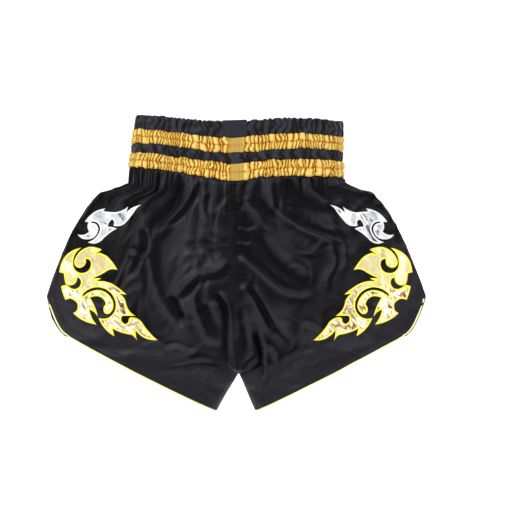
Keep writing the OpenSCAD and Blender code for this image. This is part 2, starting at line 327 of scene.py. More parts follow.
def closed_sheet(grid, inward):
    """Points and faces of a closed sheet with the grid as its face, and which faces are inside."""
    rows, cols = grid.shape[:2]
    count = rows * cols
    points = np.concatenate([grid.reshape(-1, 3), (grid + inward).reshape(-1, 3)])
    outer = grid_faces(rows, cols)
    ring = np.concatenate([
        np.arange(cols), np.arange(1, rows) * cols + cols - 1,
        (rows - 1) * cols + np.arange(cols - 2, -1, -1), np.arange(rows - 2, 0, -1) * cols])
    after = np.roll(ring, -1)
    rim = np.stack([ring, after, after + count, ring + count], axis=-1)
    faces = np.concatenate([outer, outer[:, ::-1] + count, rim])
    inside = np.zeros(len(faces), int)
    inside[len(outer):2 * len(outer)] = 1
    return points, faces, inside


def tube(path, radius, sides=10):
    """Points and faces of a closed tube along a path, and the length run along it."""
    path = np.asarray(path)
    along = unit_rows(np.gradient(path, axis=0))
    up = np.zeros_like(path)
    up[0] = unit_rows(np.cross(along[0], (0.3, 1, 0.2)))
    for k in range(1, len(path)):
        up[k] = up[k - 1] - along[k] * (up[k - 1] @ along[k])
        up[k] /= np.linalg.norm(up[k])
    points = path[:, None] + radius * turned(up, np.cross(along, up), sides)
    faces = [list(f) for f in grid_faces(len(path), sides, wrap_cols=True)]
    faces.append(list(range(sides)))
    faces.append([(len(path) - 1) * sides + k for k in range(sides - 1, -1, -1)])
    return points, faces, np.repeat(run_along(path), sides)


# ---- Stitches ----

STITCH_RADIUS = 0.28 * MM
STITCH_LIFT = 0.1 * MM  # how far a stitch's middle rides above the cloth
RIBBON_STITCH_LIFT = 0.15 * MM
CLOSE_STITCHES = 1.35  # spacing in stitch lengths
SPARSE_STITCHES = 2.6
# Along one stitch: share of its length, share of its radius, and how far out it rides
STITCH_PROFILE = np.array([(0, 0.12, 0.5, 0.88, 1), (0.35, 0.9, 1, 0.9, 0.35),
                           (-0.6, 0.25, 0.6, 0.25, -0.6)])


def turned(across, up, sides):
    """Unit directions all round from across towards up, one set for each row of both."""
    angle = np.linspace(0, math.tau, sides, endpoint=False)[None, :, None]
    return np.cos(angle) * across[:, None] + np.sin(angle) * up[:, None]


def stitch_row(path, outward, pitch, length, radius):
    """Small round-ended threads along a path, as points and faces."""
    path = np.asarray(path)
    run = run_along(path)
    starts = np.arange(pitch / 2, run[-1] - length, pitch)
    shares, fat, sink = STITCH_PROFILE
    sides = 5
    places = (starts[:, None] + shares * length).ravel()

    def there(values):
        return np.stack([np.interp(places, run, values[:, k]) for k in range(3)], axis=-1)
    normal = unit_rows(there(outward))
    middle = there(path) + normal * np.tile(sink, len(starts))[:, None] * radius
    way = unit_rows(there(unit_rows(np.gradient(path, axis=0))))
    wide = radius * np.tile(fat, len(starts))[:, None, None]
    ring = turned(normal, np.cross(way, normal), sides)
    points = (middle[:, None] + wide * ring).reshape(-1, 3)
    per = len(shares) * sides
    faces = []
    for k in range(len(starts)):
        faces += [list(f) for f in grid_faces(len(shares), sides, k * per, wrap_cols=True)]
        faces.append([k * per + s for s in range(sides)])
        faces.append([(k + 1) * per - 1 - s for s in range(sides)])
    return points, faces


def make_stitches(name, rows, material):
    """One piece from rows of stitches: each a path, its outward directions and its spacing."""
    size = bpy.context.scene.shorts_trim.stitch
    all_points, all_faces, count = [], [], 0
    for path, outward, spread in rows:
        points, faces = stitch_row(path, outward, size * spread, size,
                                   STITCH_RADIUS)
        all_points.append(points)
        all_faces += [[k + count for k in f] for f in faces]
        count += len(points)
    return make_piece(name, np.concatenate(all_points), all_faces, [material])


# ---- Shader groups and materials ----

def new_group(name, inputs, outputs):
    """An empty shader node group with named sockets, and its two end nodes."""
    group = bpy.data.node_groups.new(name, "ShaderNodeTree")
    for label, kind, default in inputs:
        socket = group.interface.new_socket(name=label, in_out="INPUT", socket_type=kind)
        socket.default_value = default
    for label, kind in outputs:
        group.interface.new_socket(name=label, in_out="OUTPUT", socket_type=kind)
    return group, group.nodes.new("NodeGroupInput"), group.nodes.new("NodeGroupOutput")


def add(tree, kind, settings=None, **inputs):
    """A new node, with its settings and its sockets given by value or by link."""
    node = tree.nodes.new(kind)
    for label, value in (settings or {}).items():
        setattr(node, label, value)
    for label, value in inputs.items():
        key = int(label[1:]) if label[0] == "i" and label[1:].isdigit() else label.replace("_", " ")
        if isinstance(value, bpy.types.NodeSocket):
            tree.links.new(value, node.inputs[key])
        else:
            node.inputs[key].default_value = value
    return node


def maths(tree, operation, a, b=0.0, c=0.0):
    """Result of one Math node."""
    return add(tree, "ShaderNodeMath", {"operation": operation}, i0=a, i1=b, i2=c).outputs[0]


def blended(tree, factor, a, b):
    """Result of mixing two colours by a factor."""
    return add(tree, "ShaderNodeMix", {"data_type": "RGBA"}, i0=factor, i6=a, i7=b).outputs[2]


def attribute(tree, name):
    """Number stored on a piece's points under a name."""
    return add(tree, "ShaderNodeAttribute", {"attribute_name": name}).outputs["Fac"]


def remapped(tree, value, start, end, first=0.0, last=1.0, kind="SMOOTHSTEP"):
    """Value moved from the range start to end on to the range first to last."""
    node = add(tree, "ShaderNodeMapRange", {"interpolation_type": kind}, Value=value)
    for label, number in (("From Min", start), ("From Max", end), ("To Min", first),
                          ("To Max", last)):
        node.inputs[label].default_value = number
    return node.outputs[0]


def shade(colour, gain=1.0):
    """A colour made lighter or darker, with its alpha."""
    return (*[c * gain for c in colour], 1)


def ramped(tree, value, stops):
    """Colour from a ramp with the given places and colours."""
    node = add(tree, "ShaderNodeValToRGB", Fac=value)
    ramp = node.color_ramp
    while len(ramp.elements) < len(stops):
        ramp.elements.new(0.5)
    for element, (place, colour) in zip(ramp.elements, stops):
        element.position = place
        element.color = (*colour, 1)
    return node.outputs[0]


def weave_group():
    """Fine crossed threads: a height, from the object's own coordinates."""
    group, given, result = new_group(
        "Weave", [("Pitch", "NodeSocketFloat", 0.0006)], [("Height", "NodeSocketFloat")])
    place = add(group, "ShaderNodeTexCoord").outputs["Object"]
    scale = maths(group, "DIVIDE", 0.314, given.outputs["Pitch"])
    warp = add(group, "ShaderNodeTexWave", {"bands_direction": "DIAGONAL"},
               Vector=place, Scale=scale, Distortion=0.6).outputs["Fac"]
    weft = add(group, "ShaderNodeTexWave", {"bands_direction": "Z"},
               Vector=place, Scale=scale, Distortion=0.6).outputs["Fac"]
    high = maths(group, "MAXIMUM", warp, weft)
    group.links.new(high, result.inputs["Height"])
    return group


def slub_group():
    """Uneven threads and handling marks: a mask for colour and roughness."""
    group, given, result = new_group(
        "Slub", [("Scale", "NodeSocketFloat", 18.0)],
        [("Mask", "NodeSocketFloat"), ("Height", "NodeSocketFloat")])
    place = add(group, "ShaderNodeTexCoord").outputs["Object"]
    long = add(group, "ShaderNodeMapping", Vector=place, Scale=(6.0, 6.0, 0.7)).outputs[0]
    streak = add(group, "ShaderNodeTexNoise", Vector=long, Scale=given.outputs["Scale"],
                 Detail=4.0, Roughness=0.6).outputs["Fac"]
    patch = add(group, "ShaderNodeTexNoise", Vector=place, Scale=given.outputs["Scale"],
                Detail=3.0, Roughness=0.5).outputs["Fac"]
    mask = maths(group, "MULTIPLY_ADD", streak, 0.55, maths(group, "MULTIPLY", patch, 0.45))
    group.links.new(mask, result.inputs["Mask"])
    group.links.new(streak, result.inputs["Height"])
    return group


def crease_group():
    """Soft handling creases: thin crooked ridges over calm cloth."""
    group, given, result = new_group(
        "Creases", [("Scale", "NodeSocketFloat", 26.0)], [("Height", "NodeSocketFloat")])
    place = add(group, "ShaderNodeTexCoord").outputs["Object"]
    noise = add(group, "ShaderNodeTexNoise", Vector=place, Scale=given.outputs["Scale"],
                Detail=2.5, Roughness=0.55, Distortion=0.9).outputs["Fac"]
    where = add(group, "ShaderNodeTexNoise", Vector=place, Scale=9.0).outputs["Fac"]
    ridge = maths(group, "ABSOLUTE", maths(group, "SUBTRACT", noise, 0.5))
    sharp = maths(group, "SUBTRACT", 0.16, maths(group, "MINIMUM", ridge, 0.16))
    group.links.new(maths(group, "MULTIPLY", maths(group, "MULTIPLY", sharp, 4.0), where),
                    result.inputs["Height"])
    return group


def crinkle_group():
    """Creased foil: a height, and a mask of flat facets that catch the light, for painting their
    reflections into the colour.
    """
    group, given, result = new_group(
        "Crinkle", [("Scale", "NodeSocketFloat", 60.0), ("Stretch", "NodeSocketFloat", 2.5)],
        [("Facet", "NodeSocketFloat"), ("Height", "NodeSocketFloat")])
    place = add(group, "ShaderNodeTexCoord").outputs["Object"]
    turned = add(group, "ShaderNodeMapping", Vector=place, Rotation=(0.0, 0.6, 0.0)).outputs[0]
    squeeze = add(group, "ShaderNodeCombineXYZ", X=given.outputs["Stretch"], Y=1.0, Z=1.0)
    long = add(group, "ShaderNodeVectorMath", {"operation": "MULTIPLY"},
               i0=turned, i1=squeeze.outputs[0]).outputs[0]
    noise = add(group, "ShaderNodeTexNoise", Vector=long, Scale=given.outputs["Scale"],
                Detail=1.5, Roughness=0.4, Distortion=1.6)
    push = add(group, "ShaderNodeVectorMath", {"operation": "MULTIPLY_ADD"},
               i0=noise.outputs["Color"], i1=(0.012, 0.012, 0.012), i2=long).outputs[0]
    cells = add(group, "ShaderNodeTexVoronoi", Vector=push, Scale=given.outputs["Scale"])
    shard = add(group, "ShaderNodeSeparateXYZ", Vector=cells.outputs["Color"]).outputs[0]
    facet = maths(group, "MULTIPLY_ADD", shard, 0.26,
                  maths(group, "MULTIPLY_ADD", noise.outputs["Fac"], 0.5, 0.12))
    group.links.new(facet, result.inputs["Facet"])
    group.links.new(maths(group, "ADD", noise.outputs["Fac"], cells.outputs["Distance"]),
                    result.inputs["Height"])
    return group


def thread_group():
    """Laid threads across a stitched border: grooves along its run."""
    group, given, result = new_group(
        "Threads", [("Pitch", "NodeSocketFloat", 0.0005)],
        [("Height", "NodeSocketFloat"), ("Shade", "NodeSocketFloat")])
    turns = maths(group, "DIVIDE", attribute(group, "run"), given.outputs["Pitch"])
    wave = maths(group, "SINE", maths(group, "MULTIPLY", turns, math.tau))
    noise = add(group, "ShaderNodeTexNoise", {"noise_dimensions": "1D"}, W=turns, Scale=0.9)
    group.links.new(maths(group, "ABSOLUTE", wave), result.inputs["Height"])
    group.links.new(noise.outputs["Fac"], result.inputs["Shade"])
    return group


def shared(name, build):
    """A node group, built once."""
    return bpy.data.node_groups.get(name) or build()


def use(tree, name, build, **inputs):
    """A shared group placed in a material with its own values."""
    return add(tree, "ShaderNodeGroup", {"node_tree": shared(name, build)}, **inputs)


def base_material(name, **settings):
    """A material with one Principled shader, and that shader."""
    made = bpy.data.materials.new(name)
    made.use_nodes = True
    tree = made.node_tree
    tree.nodes.clear()
    shader = add(tree, "ShaderNodeBsdfPrincipled", None, **settings)
    end = tree.nodes.new("ShaderNodeOutputMaterial")
    tree.links.new(shader.outputs[0], end.inputs[0])
    return made, tree, shader


def bumped(tree, shader, height, strength, distance):
    """Feeds a height to the shader's normal."""
    bump = add(tree, "ShaderNodeBump", Height=height, Strength=strength, Distance=distance)
    tree.links.new(bump.outputs[0], shader.inputs["Normal"])


def groove(tree, value, middle, half):
    """One on a line where the value is at middle, fading out either side."""
    away = maths(tree, "ABSOLUTE", maths(tree, "SUBTRACT", value, middle))
    return remapped(tree, away, 0.0, half, 1.0, 0.0)


def roughened(tree, shader, mask, span, least):
    """Roughness that follows a mask."""
    tree.links.new(maths(tree, "MULTIPLY_ADD", mask, span, least), shader.inputs["Roughness"])


def glossed(shader, specular, sheen, sheen_roughness=0.5):
    """Sets how strongly a cloth or thread reflects."""
    shader.inputs["Specular IOR Level"].default_value = specular
    shader.inputs["Sheen Weight"].default_value = sheen
    shader.inputs["Sheen Roughness"].default_value = sheen_roughness


HEM_LINES = (9.0 * MM, 11.6 * MM)  # stitched lines, from the free edge
FACING_LINE = 50 * MM  # seam of the facing along the hems and vents


def body_satin():
    """Black satin with a weave, hem stitching lines and the facing's seam. Its colour holds painted
    sheen and painted shade: lighter where the shine attribute marks slopes and crests that catch
    the light, darker elsewhere, and lighter again on the facing band.
    """
    colours = bpy.context.scene.shorts_colours
    made, tree, shader = base_material("black_satin_cloth")
    glossed(shader, 0.1, 0.004, 0.35)
    slub = use(tree, "Slub", slub_group, Scale=16.0)
    weave = use(tree, "Weave", weave_group, Pitch=0.0007).outputs["Height"]
    edge = attribute(tree, "edge")
    faced = remapped(tree, edge, FACING_LINE, FACING_LINE - 1 * MM, kind="LINEAR")
    painted_sheen_cloud = add(tree, "ShaderNodeTexNoise", Scale=9.0, Detail=1.5, Roughness=0.5,
                Distortion=0.3).outputs["Fac"]
    # Painted sheen: the shine attribute, with a soft cloud, marks where the satin's colour is
    # painted lighter
    lit = maths(tree, "MULTIPLY_ADD", attribute(tree, "shine"), 0.75,
                maths(tree, "MULTIPLY", painted_sheen_cloud, 0.25))
    patches = remapped(tree, lit, 0.33, 0.84)
    # Painted shade at 0.6 times the satin, painted sheen at 3.4 times
    painted_sheen_tint = blended(tree, patches, shade(colours.satin, 0.6), shade(colours.satin, 3.4))
    # Painted sheen on the facing band along the hems and vents, at 3.6 times the satin
    lighter = blended(tree, maths(tree, "MULTIPLY", faced, 0.6), painted_sheen_tint,
                      shade(colours.satin, 3.6))
    tree.links.new(lighter, shader.inputs["Base Color"])
    roughened(tree, shader, slub.outputs["Mask"], 0.25, 0.3)
    gloss = maths(tree, "MAXIMUM", patches, maths(tree, "MULTIPLY", faced, 0.7))
    tree.links.new(maths(tree, "MULTIPLY_ADD", gloss, 0.1, 0.05),
                   shader.inputs["Specular IOR Level"])
    lines = groove(tree, edge, FACING_LINE, 1.2 * MM)
    for place in HEM_LINES:
        lines = maths(tree, "ADD", lines, groove(tree, edge, place, 0.7 * MM))
    ripple = add(tree, "ShaderNodeTexNoise", Scale=75.0, Detail=2.0, Distortion=0.8)
    rippled = maths(tree, "MULTIPLY", ripple.outputs["Fac"],
                    maths(tree, "MULTIPLY", faced, 1.6))
    height = maths(tree, "SUBTRACT", maths(tree, "MULTIPLY_ADD", weave, 0.25, rippled), lines)
    creased = use(tree, "Creases", crease_group, Scale=26.0).outputs["Height"]
    bumped(tree, shader, maths(tree, "MULTIPLY_ADD", creased, 3.0, height), 0.55, 0.35 * MM)
    return made


def plain_satin(name, gain, roughness):
    """Black satin for the tunnels, painted a little lighter where it is gathered: painted highlight
    on the gathers' crests, painted shade in their folds.
    """
    colours = bpy.context.scene.shorts_colours
    made, tree, shader = base_material(name)
    glossed(shader, 0.11, 0.012, 0.4)
    slub = use(tree, "Slub", slub_group, Scale=30.0)
    weave = use(tree, "Weave", weave_group, Pitch=0.0006).outputs["Height"]
    # Painted highlight: the satin's colour times the gain where the rise is high; painted shade at
    # 0.6 times where it is low
    light = (*[c * gain for c in colours.satin[:2]], colours.satin[2] * gain * 0.95, 1)
    factor = maths(tree, "MULTIPLY", remapped(tree, attribute(tree, "rise"), 0.33, 0.92),
                   maths(tree, "ADD", slub.outputs["Mask"], 0.4))
    tree.links.new(blended(tree, factor, shade(colours.satin, 0.6), light),
                   shader.inputs["Base Color"])
    roughened(tree, shader, slub.outputs["Mask"], 0.2, roughness - 0.1)
    bumped(tree, shader, maths(tree, "MULTIPLY_ADD", slub.outputs["Height"], 2.0, weave),
           0.3, 0.3 * MM)
    return made


def gold_satin():
    """Gold ribbon satin, painted bright on the ribs and orange brown down in the valleys: painted
    highlight and painted shade that follow the rise.
    """
    colours = bpy.context.scene.shorts_colours
    made, tree, shader = base_material("gold_ribbon_satin")
    glossed(shader, 0.22, 0.03)
    slub = use(tree, "Slub", slub_group, Scale=45.0)
    weave = use(tree, "Weave", weave_group, Pitch=0.0008).outputs["Height"]
    level = maths(tree, "MULTIPLY_ADD", maths(tree, "SUBTRACT", slub.outputs["Mask"], 0.5),
                  0.35, attribute(tree, "rise"))
    # Painted shade in the valleys and painted highlight on the ribs; the slub adds uneven tone
    colour = ramped(tree, level, [
        (0.12, colours.gold_valley_painted_shade), (0.34, (0.2, 0.055, 0.003)), (0.52, (0.42, 0.19, 0.012)),
        (0.72, (0.5, 0.3, 0.032)), (1.0, colours.gold_ridge_painted_highlight)])
    smooth = ramped(tree, level, [(0.3, (0.2, 0.09, 0.01)), (0.56, (0.37, 0.245, 0.045))])
    # The flat join takes a duller ramp on the rise of its stitched lines: painted highlight and
    # painted shade on them
    tree.links.new(blended(tree, attribute(tree, "join"), colour, smooth),
                   shader.inputs["Base Color"])
    roughened(tree, shader, slub.outputs["Mask"], 0.25, 0.28)
    bumped(tree, shader, weave, 0.35, 0.25 * MM)
    return made


def foil(name, stops, roughness, scale):
    """Creased metallic foil whose stops paint bright and dark reflections on its facets."""
    made, tree, shader = base_material(name, Metallic=0.75)
    crinkle = use(tree, "Crinkle", crinkle_group, Scale=scale, Stretch=2.2)
    fine = use(tree, "Crinkle", crinkle_group, Scale=scale * 3.5, Stretch=1.3)
    colour = ramped(tree, crinkle.outputs["Facet"], stops)
    tree.links.new(colour, shader.inputs["Base Color"])
    roughened(tree, shader, fine.outputs["Facet"], 0.2, roughness)
    height = maths(tree, "MULTIPLY_ADD", fine.outputs["Height"], 0.25, crinkle.outputs["Height"])
    bumped(tree, shader, height, 0.5, 0.8 * MM)
    return made


def gold_foil():
    """Foil that is calm and creamy above, and broken into painted bright and brown reflections on
    its facets below.
    """
    made, tree, shader = base_material("gold_foil_sheet", Metallic=0.65)
    crinkle = use(tree, "Crinkle", crinkle_group, Scale=52.0, Stretch=2.2)
    fine = use(tree, "Crinkle", crinkle_group, Scale=230.0, Stretch=1.3)
    # Painted reflections on the facets: calm above, busy bright and brown below
    calm = ramped(tree, crinkle.outputs["Facet"], [
        (0.3, (0.43, 0.35, 0.14)), (0.42, (0.54, 0.46, 0.22)), (0.52, (0.6, 0.53, 0.29)),
        (0.6, (0.5, 0.42, 0.19)), (0.72, (0.62, 0.56, 0.34))])
    busy = ramped(tree, crinkle.outputs["Facet"], [
        (0.34, (0.1, 0.045, 0.012)), (0.4, (0.42, 0.27, 0.09)), (0.45, (0.9, 0.87, 0.8)),
        (0.5, (0.55, 0.42, 0.17)), (0.55, (0.88, 0.82, 0.66)), (0.6, (0.24, 0.14, 0.04)),
        (0.66, (0.8, 0.68, 0.4))])
    tree.links.new(blended(tree, attribute(tree, "painted_reflection_zone"), calm, busy),
                   shader.inputs["Base Color"])
    roughened(tree, shader, fine.outputs["Facet"], 0.2, 0.22)
    height = maths(tree, "MULTIPLY_ADD", fine.outputs["Height"], 0.2, crinkle.outputs["Height"])
    bumped(tree, shader, height, 0.4, 0.7 * MM)
    return made


def thread(name, colour, pitch, shine=0.45):
    """Embroidery or sewing thread laid side by side."""
    made, tree, shader = base_material(name)
    glossed(shader, shine, shine / 3)
    laid = use(tree, "Threads", thread_group, Pitch=pitch)
    tree.links.new(blended(tree, laid.outputs["Shade"], shade(colour, 0.72), shade(colour)),
                   shader.inputs["Base Color"])
    roughened(tree, shader, laid.outputs["Shade"], 0.2, 0.35)
    bumped(tree, shader, laid.outputs["Height"], 0.6, 0.25 * MM)
    return made


def piping_satin():
    """Pale satin bias strip rolled round its cord, with faint puckers."""
    colours = bpy.context.scene.shorts_colours
    made, tree, shader = base_material("pale_piping_satin")
    shader.inputs["Sheen Weight"].default_value = 0.1
    laid = use(tree, "Threads", thread_group, Pitch=0.0032)
    slub = use(tree, "Slub", slub_group, Scale=60.0)
    tree.links.new(blended(tree, slub.outputs["Mask"], shade(colours.piping, 0.82),
                           shade(colours.piping)), shader.inputs["Base Color"])
    roughened(tree, shader, slub.outputs["Mask"], 0.2, 0.35)
    bumped(tree, shader, laid.outputs["Height"], 0.3, 0.2 * MM)
    return made


def dull_cloth(name, colour, pitch, strength):
    """Matt woven cloth or tape, with its threads standing up, painted darker between the raised
    threads: painted shade in the weave, with uneven tone from the slub.
    """
    made, tree, shader = base_material(name)
    shader.inputs["Specular IOR Level"].default_value = 0.25
    slub = use(tree, "Slub", slub_group, Scale=40.0)
    weave = use(tree, "Weave", weave_group, Pitch=pitch).outputs["Height"]
    factor = maths(tree, "MULTIPLY_ADD", weave, 0.6,
                   maths(tree, "MULTIPLY", slub.outputs["Mask"], 0.4))
    tree.links.new(blended(tree, factor, shade(colour, 0.6), shade(colour)),
                   shader.inputs["Base Color"])
    roughened(tree, shader, slub.outputs["Mask"], 0.2, 0.62)
    bumped(tree, shader, weave, strength, 0.4 * MM)
    return made


def painted_metal():
    """Black painted eyelet, rubbed lighter in patches."""
    made, tree, shader = base_material("painted_eyelet_metal", Metallic=0.6)
    slub = use(tree, "Slub", slub_group, Scale=220.0)
    tree.links.new(blended(tree, slub.outputs["Mask"], (0.012, 0.012, 0.014, 1),
                           (0.07, 0.07, 0.075, 1)), shader.inputs["Base Color"])
    roughened(tree, shader, slub.outputs["Mask"], 0.3, 0.25)
    bumped(tree, shader, slub.outputs["Height"], 0.2, 0.1 * MM)
    return made


# Painted reflections: dark and pale facets of the silver white foil
WHITE_FOIL_PAINTED_REFLECTIONS = [(0.32, (0.08, 0.07, 0.08)), (0.37, (0.44, 0.44, 0.47)), (0.46, (0.58, 0.58, 0.59)),
         (0.56, (0.5, 0.5, 0.52)), (0.6, (0.07, 0.05, 0.055)), (0.65, (0.55, 0.53, 0.55))]
FINISHES = {
    "satin": body_satin,
    # 8.5 is the gain of the painted highlight on the tunnels' gathers
    "tunnel": lambda: plain_satin("black_tunnel_satin", 8.5, 0.45),
    "lining": lambda: dull_cloth("black_lining_cloth", (0.02, 0.02, 0.022), 0.0009, 0.4),
    "gold": gold_satin,
    "elastic": lambda: dull_cloth("woven_elastic", (0.75, 0.74, 0.7), 0.0016, 0.8),
    "gold_foil": gold_foil,
    "white_foil": lambda: foil("silver_white_foil", WHITE_FOIL_PAINTED_REFLECTIONS, 0.2, 30.0),
    "yellow_thread": lambda: thread(
        "yellow_border_thread", tuple(bpy.context.scene.shorts_colours.border_yellow), 0.0005),
    "white_thread": lambda: thread("white_border_thread", (0.8, 0.81, 0.83), 0.0005),
    "black_thread": lambda: thread("black_topstitch_thread", (0.005, 0.005, 0.007), 0.0004,
                                   shine=0.08),
    "gold_thread": lambda: thread("gold_topstitch_thread", (0.42, 0.18, 0.03), 0.0004),
    "piping": piping_satin,
    "eyelet": painted_metal,
}
MADE = {}


def finish_of(name):
    """The named material, made the first time it is asked for."""
    if name not in MADE:
        MADE[name] = FINISHES[name]()
    return MADE[name]


# ---- The panels' smooth face ----

CROTCH_V = 0.815
VENT_V = 0.77
SEAT_V = 0.45
GUSSET_END_V = (CROTCH_V + 1) / 2
SIDE_CURVE = 0.445
ROW_CROWDING = 1.6


def inner_edge(v):
    """Centre seam down to the crotch, then the inseam, as x and z."""
    s = bpy.context.scene.shorts_body
    crotch_z = PANEL_TOP - s.rise
    below = clamped((v - CROTCH_V) / (1 - CROTCH_V))
    x = s.inseam_run * below
    z = np.where(v < CROTCH_V, mix(PANEL_TOP, crotch_z, v / CROTCH_V),
                 crotch_z - s.inseam_drop * below)
    return x, z


def outer_edge(v):
    """Side seam down to the vent, then the vent's edge round to the hem, as x and z."""
    s = bpy.context.scene.shorts_body
    hip = s.hip_width / 2
    vent_z = PANEL_TOP - s.side_seam
    t = clamped(v / VENT_V) ** ROW_CROWDING
    w = clamped((v - VENT_V) / (1 - VENT_V))
    seam_x = mix(BAND_HALF_W, hip, t ** SIDE_CURVE)
    seam_z = mix(PANEL_TOP, vent_z, t)
    vent_x = (hip * (1 - w) ** 2 + (hip - s.corner_in / 2) * 2 * w * (1 - w)
              + (hip - s.corner_in) * w * w)
    edge_z = (vent_z * (1 - w) ** 2 + (vent_z - 0.9 * s.vent_drop) * 2 * w * (1 - w)
              + (vent_z - s.vent_drop) * w * w)
    neck = eased(((PANEL_TOP - seam_z) / MM - 3) / 12)
    seam_x = mix(BAND_HALF_W, seam_x, mix(0.12, 1.0, neck))
    on_seam = v < VENT_V
    return np.where(on_seam, seam_x, vent_x), np.where(on_seam, seam_z, edge_z)


def gusset_half(v):
    """Half the gusset's width beside the inseam."""
    half = bpy.context.scene.shorts_body.gusset_width / 2
    return half * clamped((GUSSET_END_V - v) / (GUSSET_END_V - CROTCH_V))


def panel_depth(u, v):
    """How far the face stands behind the middle plane."""
    s = bpy.context.scene.shorts_body
    seat = mix(BAND_HALF_D, s.hip_depth / 2, eased(v / SEAT_V))
    leg = mix(s.hip_depth / 2, s.leg_depth / 2, eased((v - SEAT_V) / (1 - SEAT_V)))
    half = np.where(v < SEAT_V, seat, leg)
    low = clamped((v - SEAT_V) / (CROTCH_V - SEAT_V))
    share = gusset_half(v) / half
    centre = share + (1 - share) * (1 - low * low) ** 0.7
    sharp = mix(0.5, 0.9, eased(v / 0.35))
    leg_round = (1 - (1 - u) ** 2.2) ** 0.6
    vent_open = clamped((v - VENT_V) / (1 - VENT_V)) ** 0.7
    return (half * np.maximum(1 - u * u, 0) ** sharp * (centre + (1 - centre) * leg_round)
            + s.vent_gap / 2 * vent_open * u ** 4)


def panel_face(u, v):
    """Points of the back panel at +X, for columns u and rows v."""
    inner_x, inner_z = inner_edge(v)
    outer_x, outer_z = outer_edge(v)
    x = mix(inner_x, outer_x, u)
    z = mix(inner_z, outer_z, u)
    return np.stack([x, -panel_depth(u, v), z], axis=-1)


def panel_signs(key):
    """Directions that turn the back panel at +X into the named one."""
    face, side = key
    return np.array([-1.0 if side == "left" else 1.0, -1.0 if face == "front" else 1.0, 1.0])


def panel_grid(rows, cols):
    """Shares u and v on a grid whose columns crowd towards the side."""
    t = np.linspace(0, 1, cols)[None, :]
    v = np.linspace(0, 1, rows)[:, None]
    return np.sin(t * math.pi / 2) + 0 * v, v + 0 * t, t + 0 * v


# ---- How the band hangs ----
# The band is stretched unevenly, so its rows drift: at a place x across it, a height z
# moves to lift + share * z. Each knot is x in mm, lift in mm and share.

BACK_DRIFT = [(-130, 5, 0.845), (-85, 1, 0.87), (-40, -5, 0.89), (0, -4.6, 0.995),
              (35, -2.5, 0.92), (85, 0.3, 0.94), (130, -3, 0.915)]
FRONT_DRIFT = [(-130, 6, 0.85), (-70, 2.5, 0.93), (0, 1.5, 0.97), (60, 2.5, 0.96),
               (130, -1, 0.93)]


def band_drift(x, y):
    """Lift and share of the band at a place on its oval."""
    is_back = eased(0.5 - y / (12 * MM))
    found = []
    for column in (1, 2):
        both = []
        for knots in (BACK_DRIFT, FRONT_DRIFT):
            table = np.array(knots, float)
            both.append(sum(np.interp(x / MM + shift, table[:, 0], table[:, column])
                            for shift in (-14, -7, 0, 7, 14)) / 5)
        found.append(mix(both[1], both[0], is_back))
    return found[0] * MM, found[1]


# ---- Body panels ----

COARSE = (54, 44)  # rows and columns of a panel while it drapes
FINE = (160, 173)  # and in its finished face

# Creases in the back of the cloth: height and width in mm, then points across and up in mm
CREASES = {
    "right": [
        (3.4, 4.5, [(38, -84), (52, -119), (79, -139), (117, -157), (143, -180)]),
        (-2.6, 6, [(62, -84), (84, -106), (116, -118), (150, -116)]),
        (3.6, 5, [(4, -172), (31, -197), (57, -219), (83, -227), (106, -226)]),
        (-3.0, 7, [(26, -150), (50, -182), (78, -206), (106, -219)]),
        (2.6, 5, [(8, -208), (26, -238), (38, -264), (57, -286)]),
        (-2.8, 4, [(18, -214), (38, -246), (54, -272), (78, -296)]),
        (2.2, 4, [(120, -160), (128, -184), (118, -204), (122, -226)]),
        (-2.6, 4, [(6, -240), (12, -270), (16, -300)]),
        (-4.5, 3.5, [(26, -268), (31, -290), (31, -312), (30, -338)]),
        (3.2, 4, [(34, -284), (50, -300), (56, -316)]),
        (1.8, 4, [(84, -262), (100, -268), (118, -284)]),
        (2.4, 5, [(14, -110), (34, -136), (52, -150)]),
        (-3.2, 3, [(2, -318), (14, -309), (29, -298)]),
        (2.4, 6, [(14, -112), (32, -124), (56, -142)]),
        (2.0, 3.5, [(60, -312), (84, -300), (110, -296)]),
        (1.6, 3, [(90, -318), (112, -306), (140, -304)]),
        (1.8, 3, [(6, -140), (18, -144), (30, -142)]),
        (1.8, 3, [(6, -158), (16, -162), (26, -160)]),
    ],
    "left": [
        (-3.2, 7, [(-66, -84), (-76, -108), (-97, -131), (-116, -140)]),
        (3.0, 4, [(-46, -82), (-58, -104), (-80, -126), (-98, -134)]),
        (3.4, 5, [(-108, -150), (-109, -190), (-98, -232), (-74, -264), (-53, -280)]),
        (-2.8, 4, [(-121, -140), (-117, -161), (-128, -187), (-133, -206)]),
        (3.2, 5.5, [(-2, -180), (-21, -194), (-46, -200), (-72, -222), (-86, -236)]),
        (3.6, 4.5, [(-57, -224), (-46, -256), (-33, -281), (-10, -290)]),
        (-3.6, 6, [(-84, -226), (-72, -246), (-62, -262)]),
        (-5.0, 4, [(-26, -222), (-13, -240), (-9, -262), (-10, -314)]),
        (-2.4, 6, [(-40, -236), (-28, -262), (-14, -280)]),
        (-3.0, 3, [(-15, -313), (-8, -320), (-1, -327)]),
        (2.4, 3.5, [(-92, -296), (-74, -290), (-56, -296), (-40, -290)]),
        (2.2, 3, [(-84, -316), (-66, -312), (-44, -306), (-22, -310)]),
        (2.2, 3, [(-66, -328), (-52, -322), (-46, -330), (-34, -322), (-24, -334)]),
        (1.8, 3, [(-120, -290), (-102, -284), (-90, -292)]),
        (2.0, 4, [(-140, -170), (-122, -176), (-104, -168)]),
        (2.2, 4, [(-36, -96), (-40, -118), (-34, -140)]),
    ],
}


DRAPE_FRAMES = 24
CLOTH_SETTINGS = {
    "quality": 7, "mass": 0.12, "tension_stiffness": 12, "compression_stiffness": 12,
    "shear_stiffness": 6, "bending_stiffness": 0.25, "tension_damping": 5,
    "compression_damping": 5, "shear_damping": 5, "bending_damping": 0.6, "air_damping": 2}


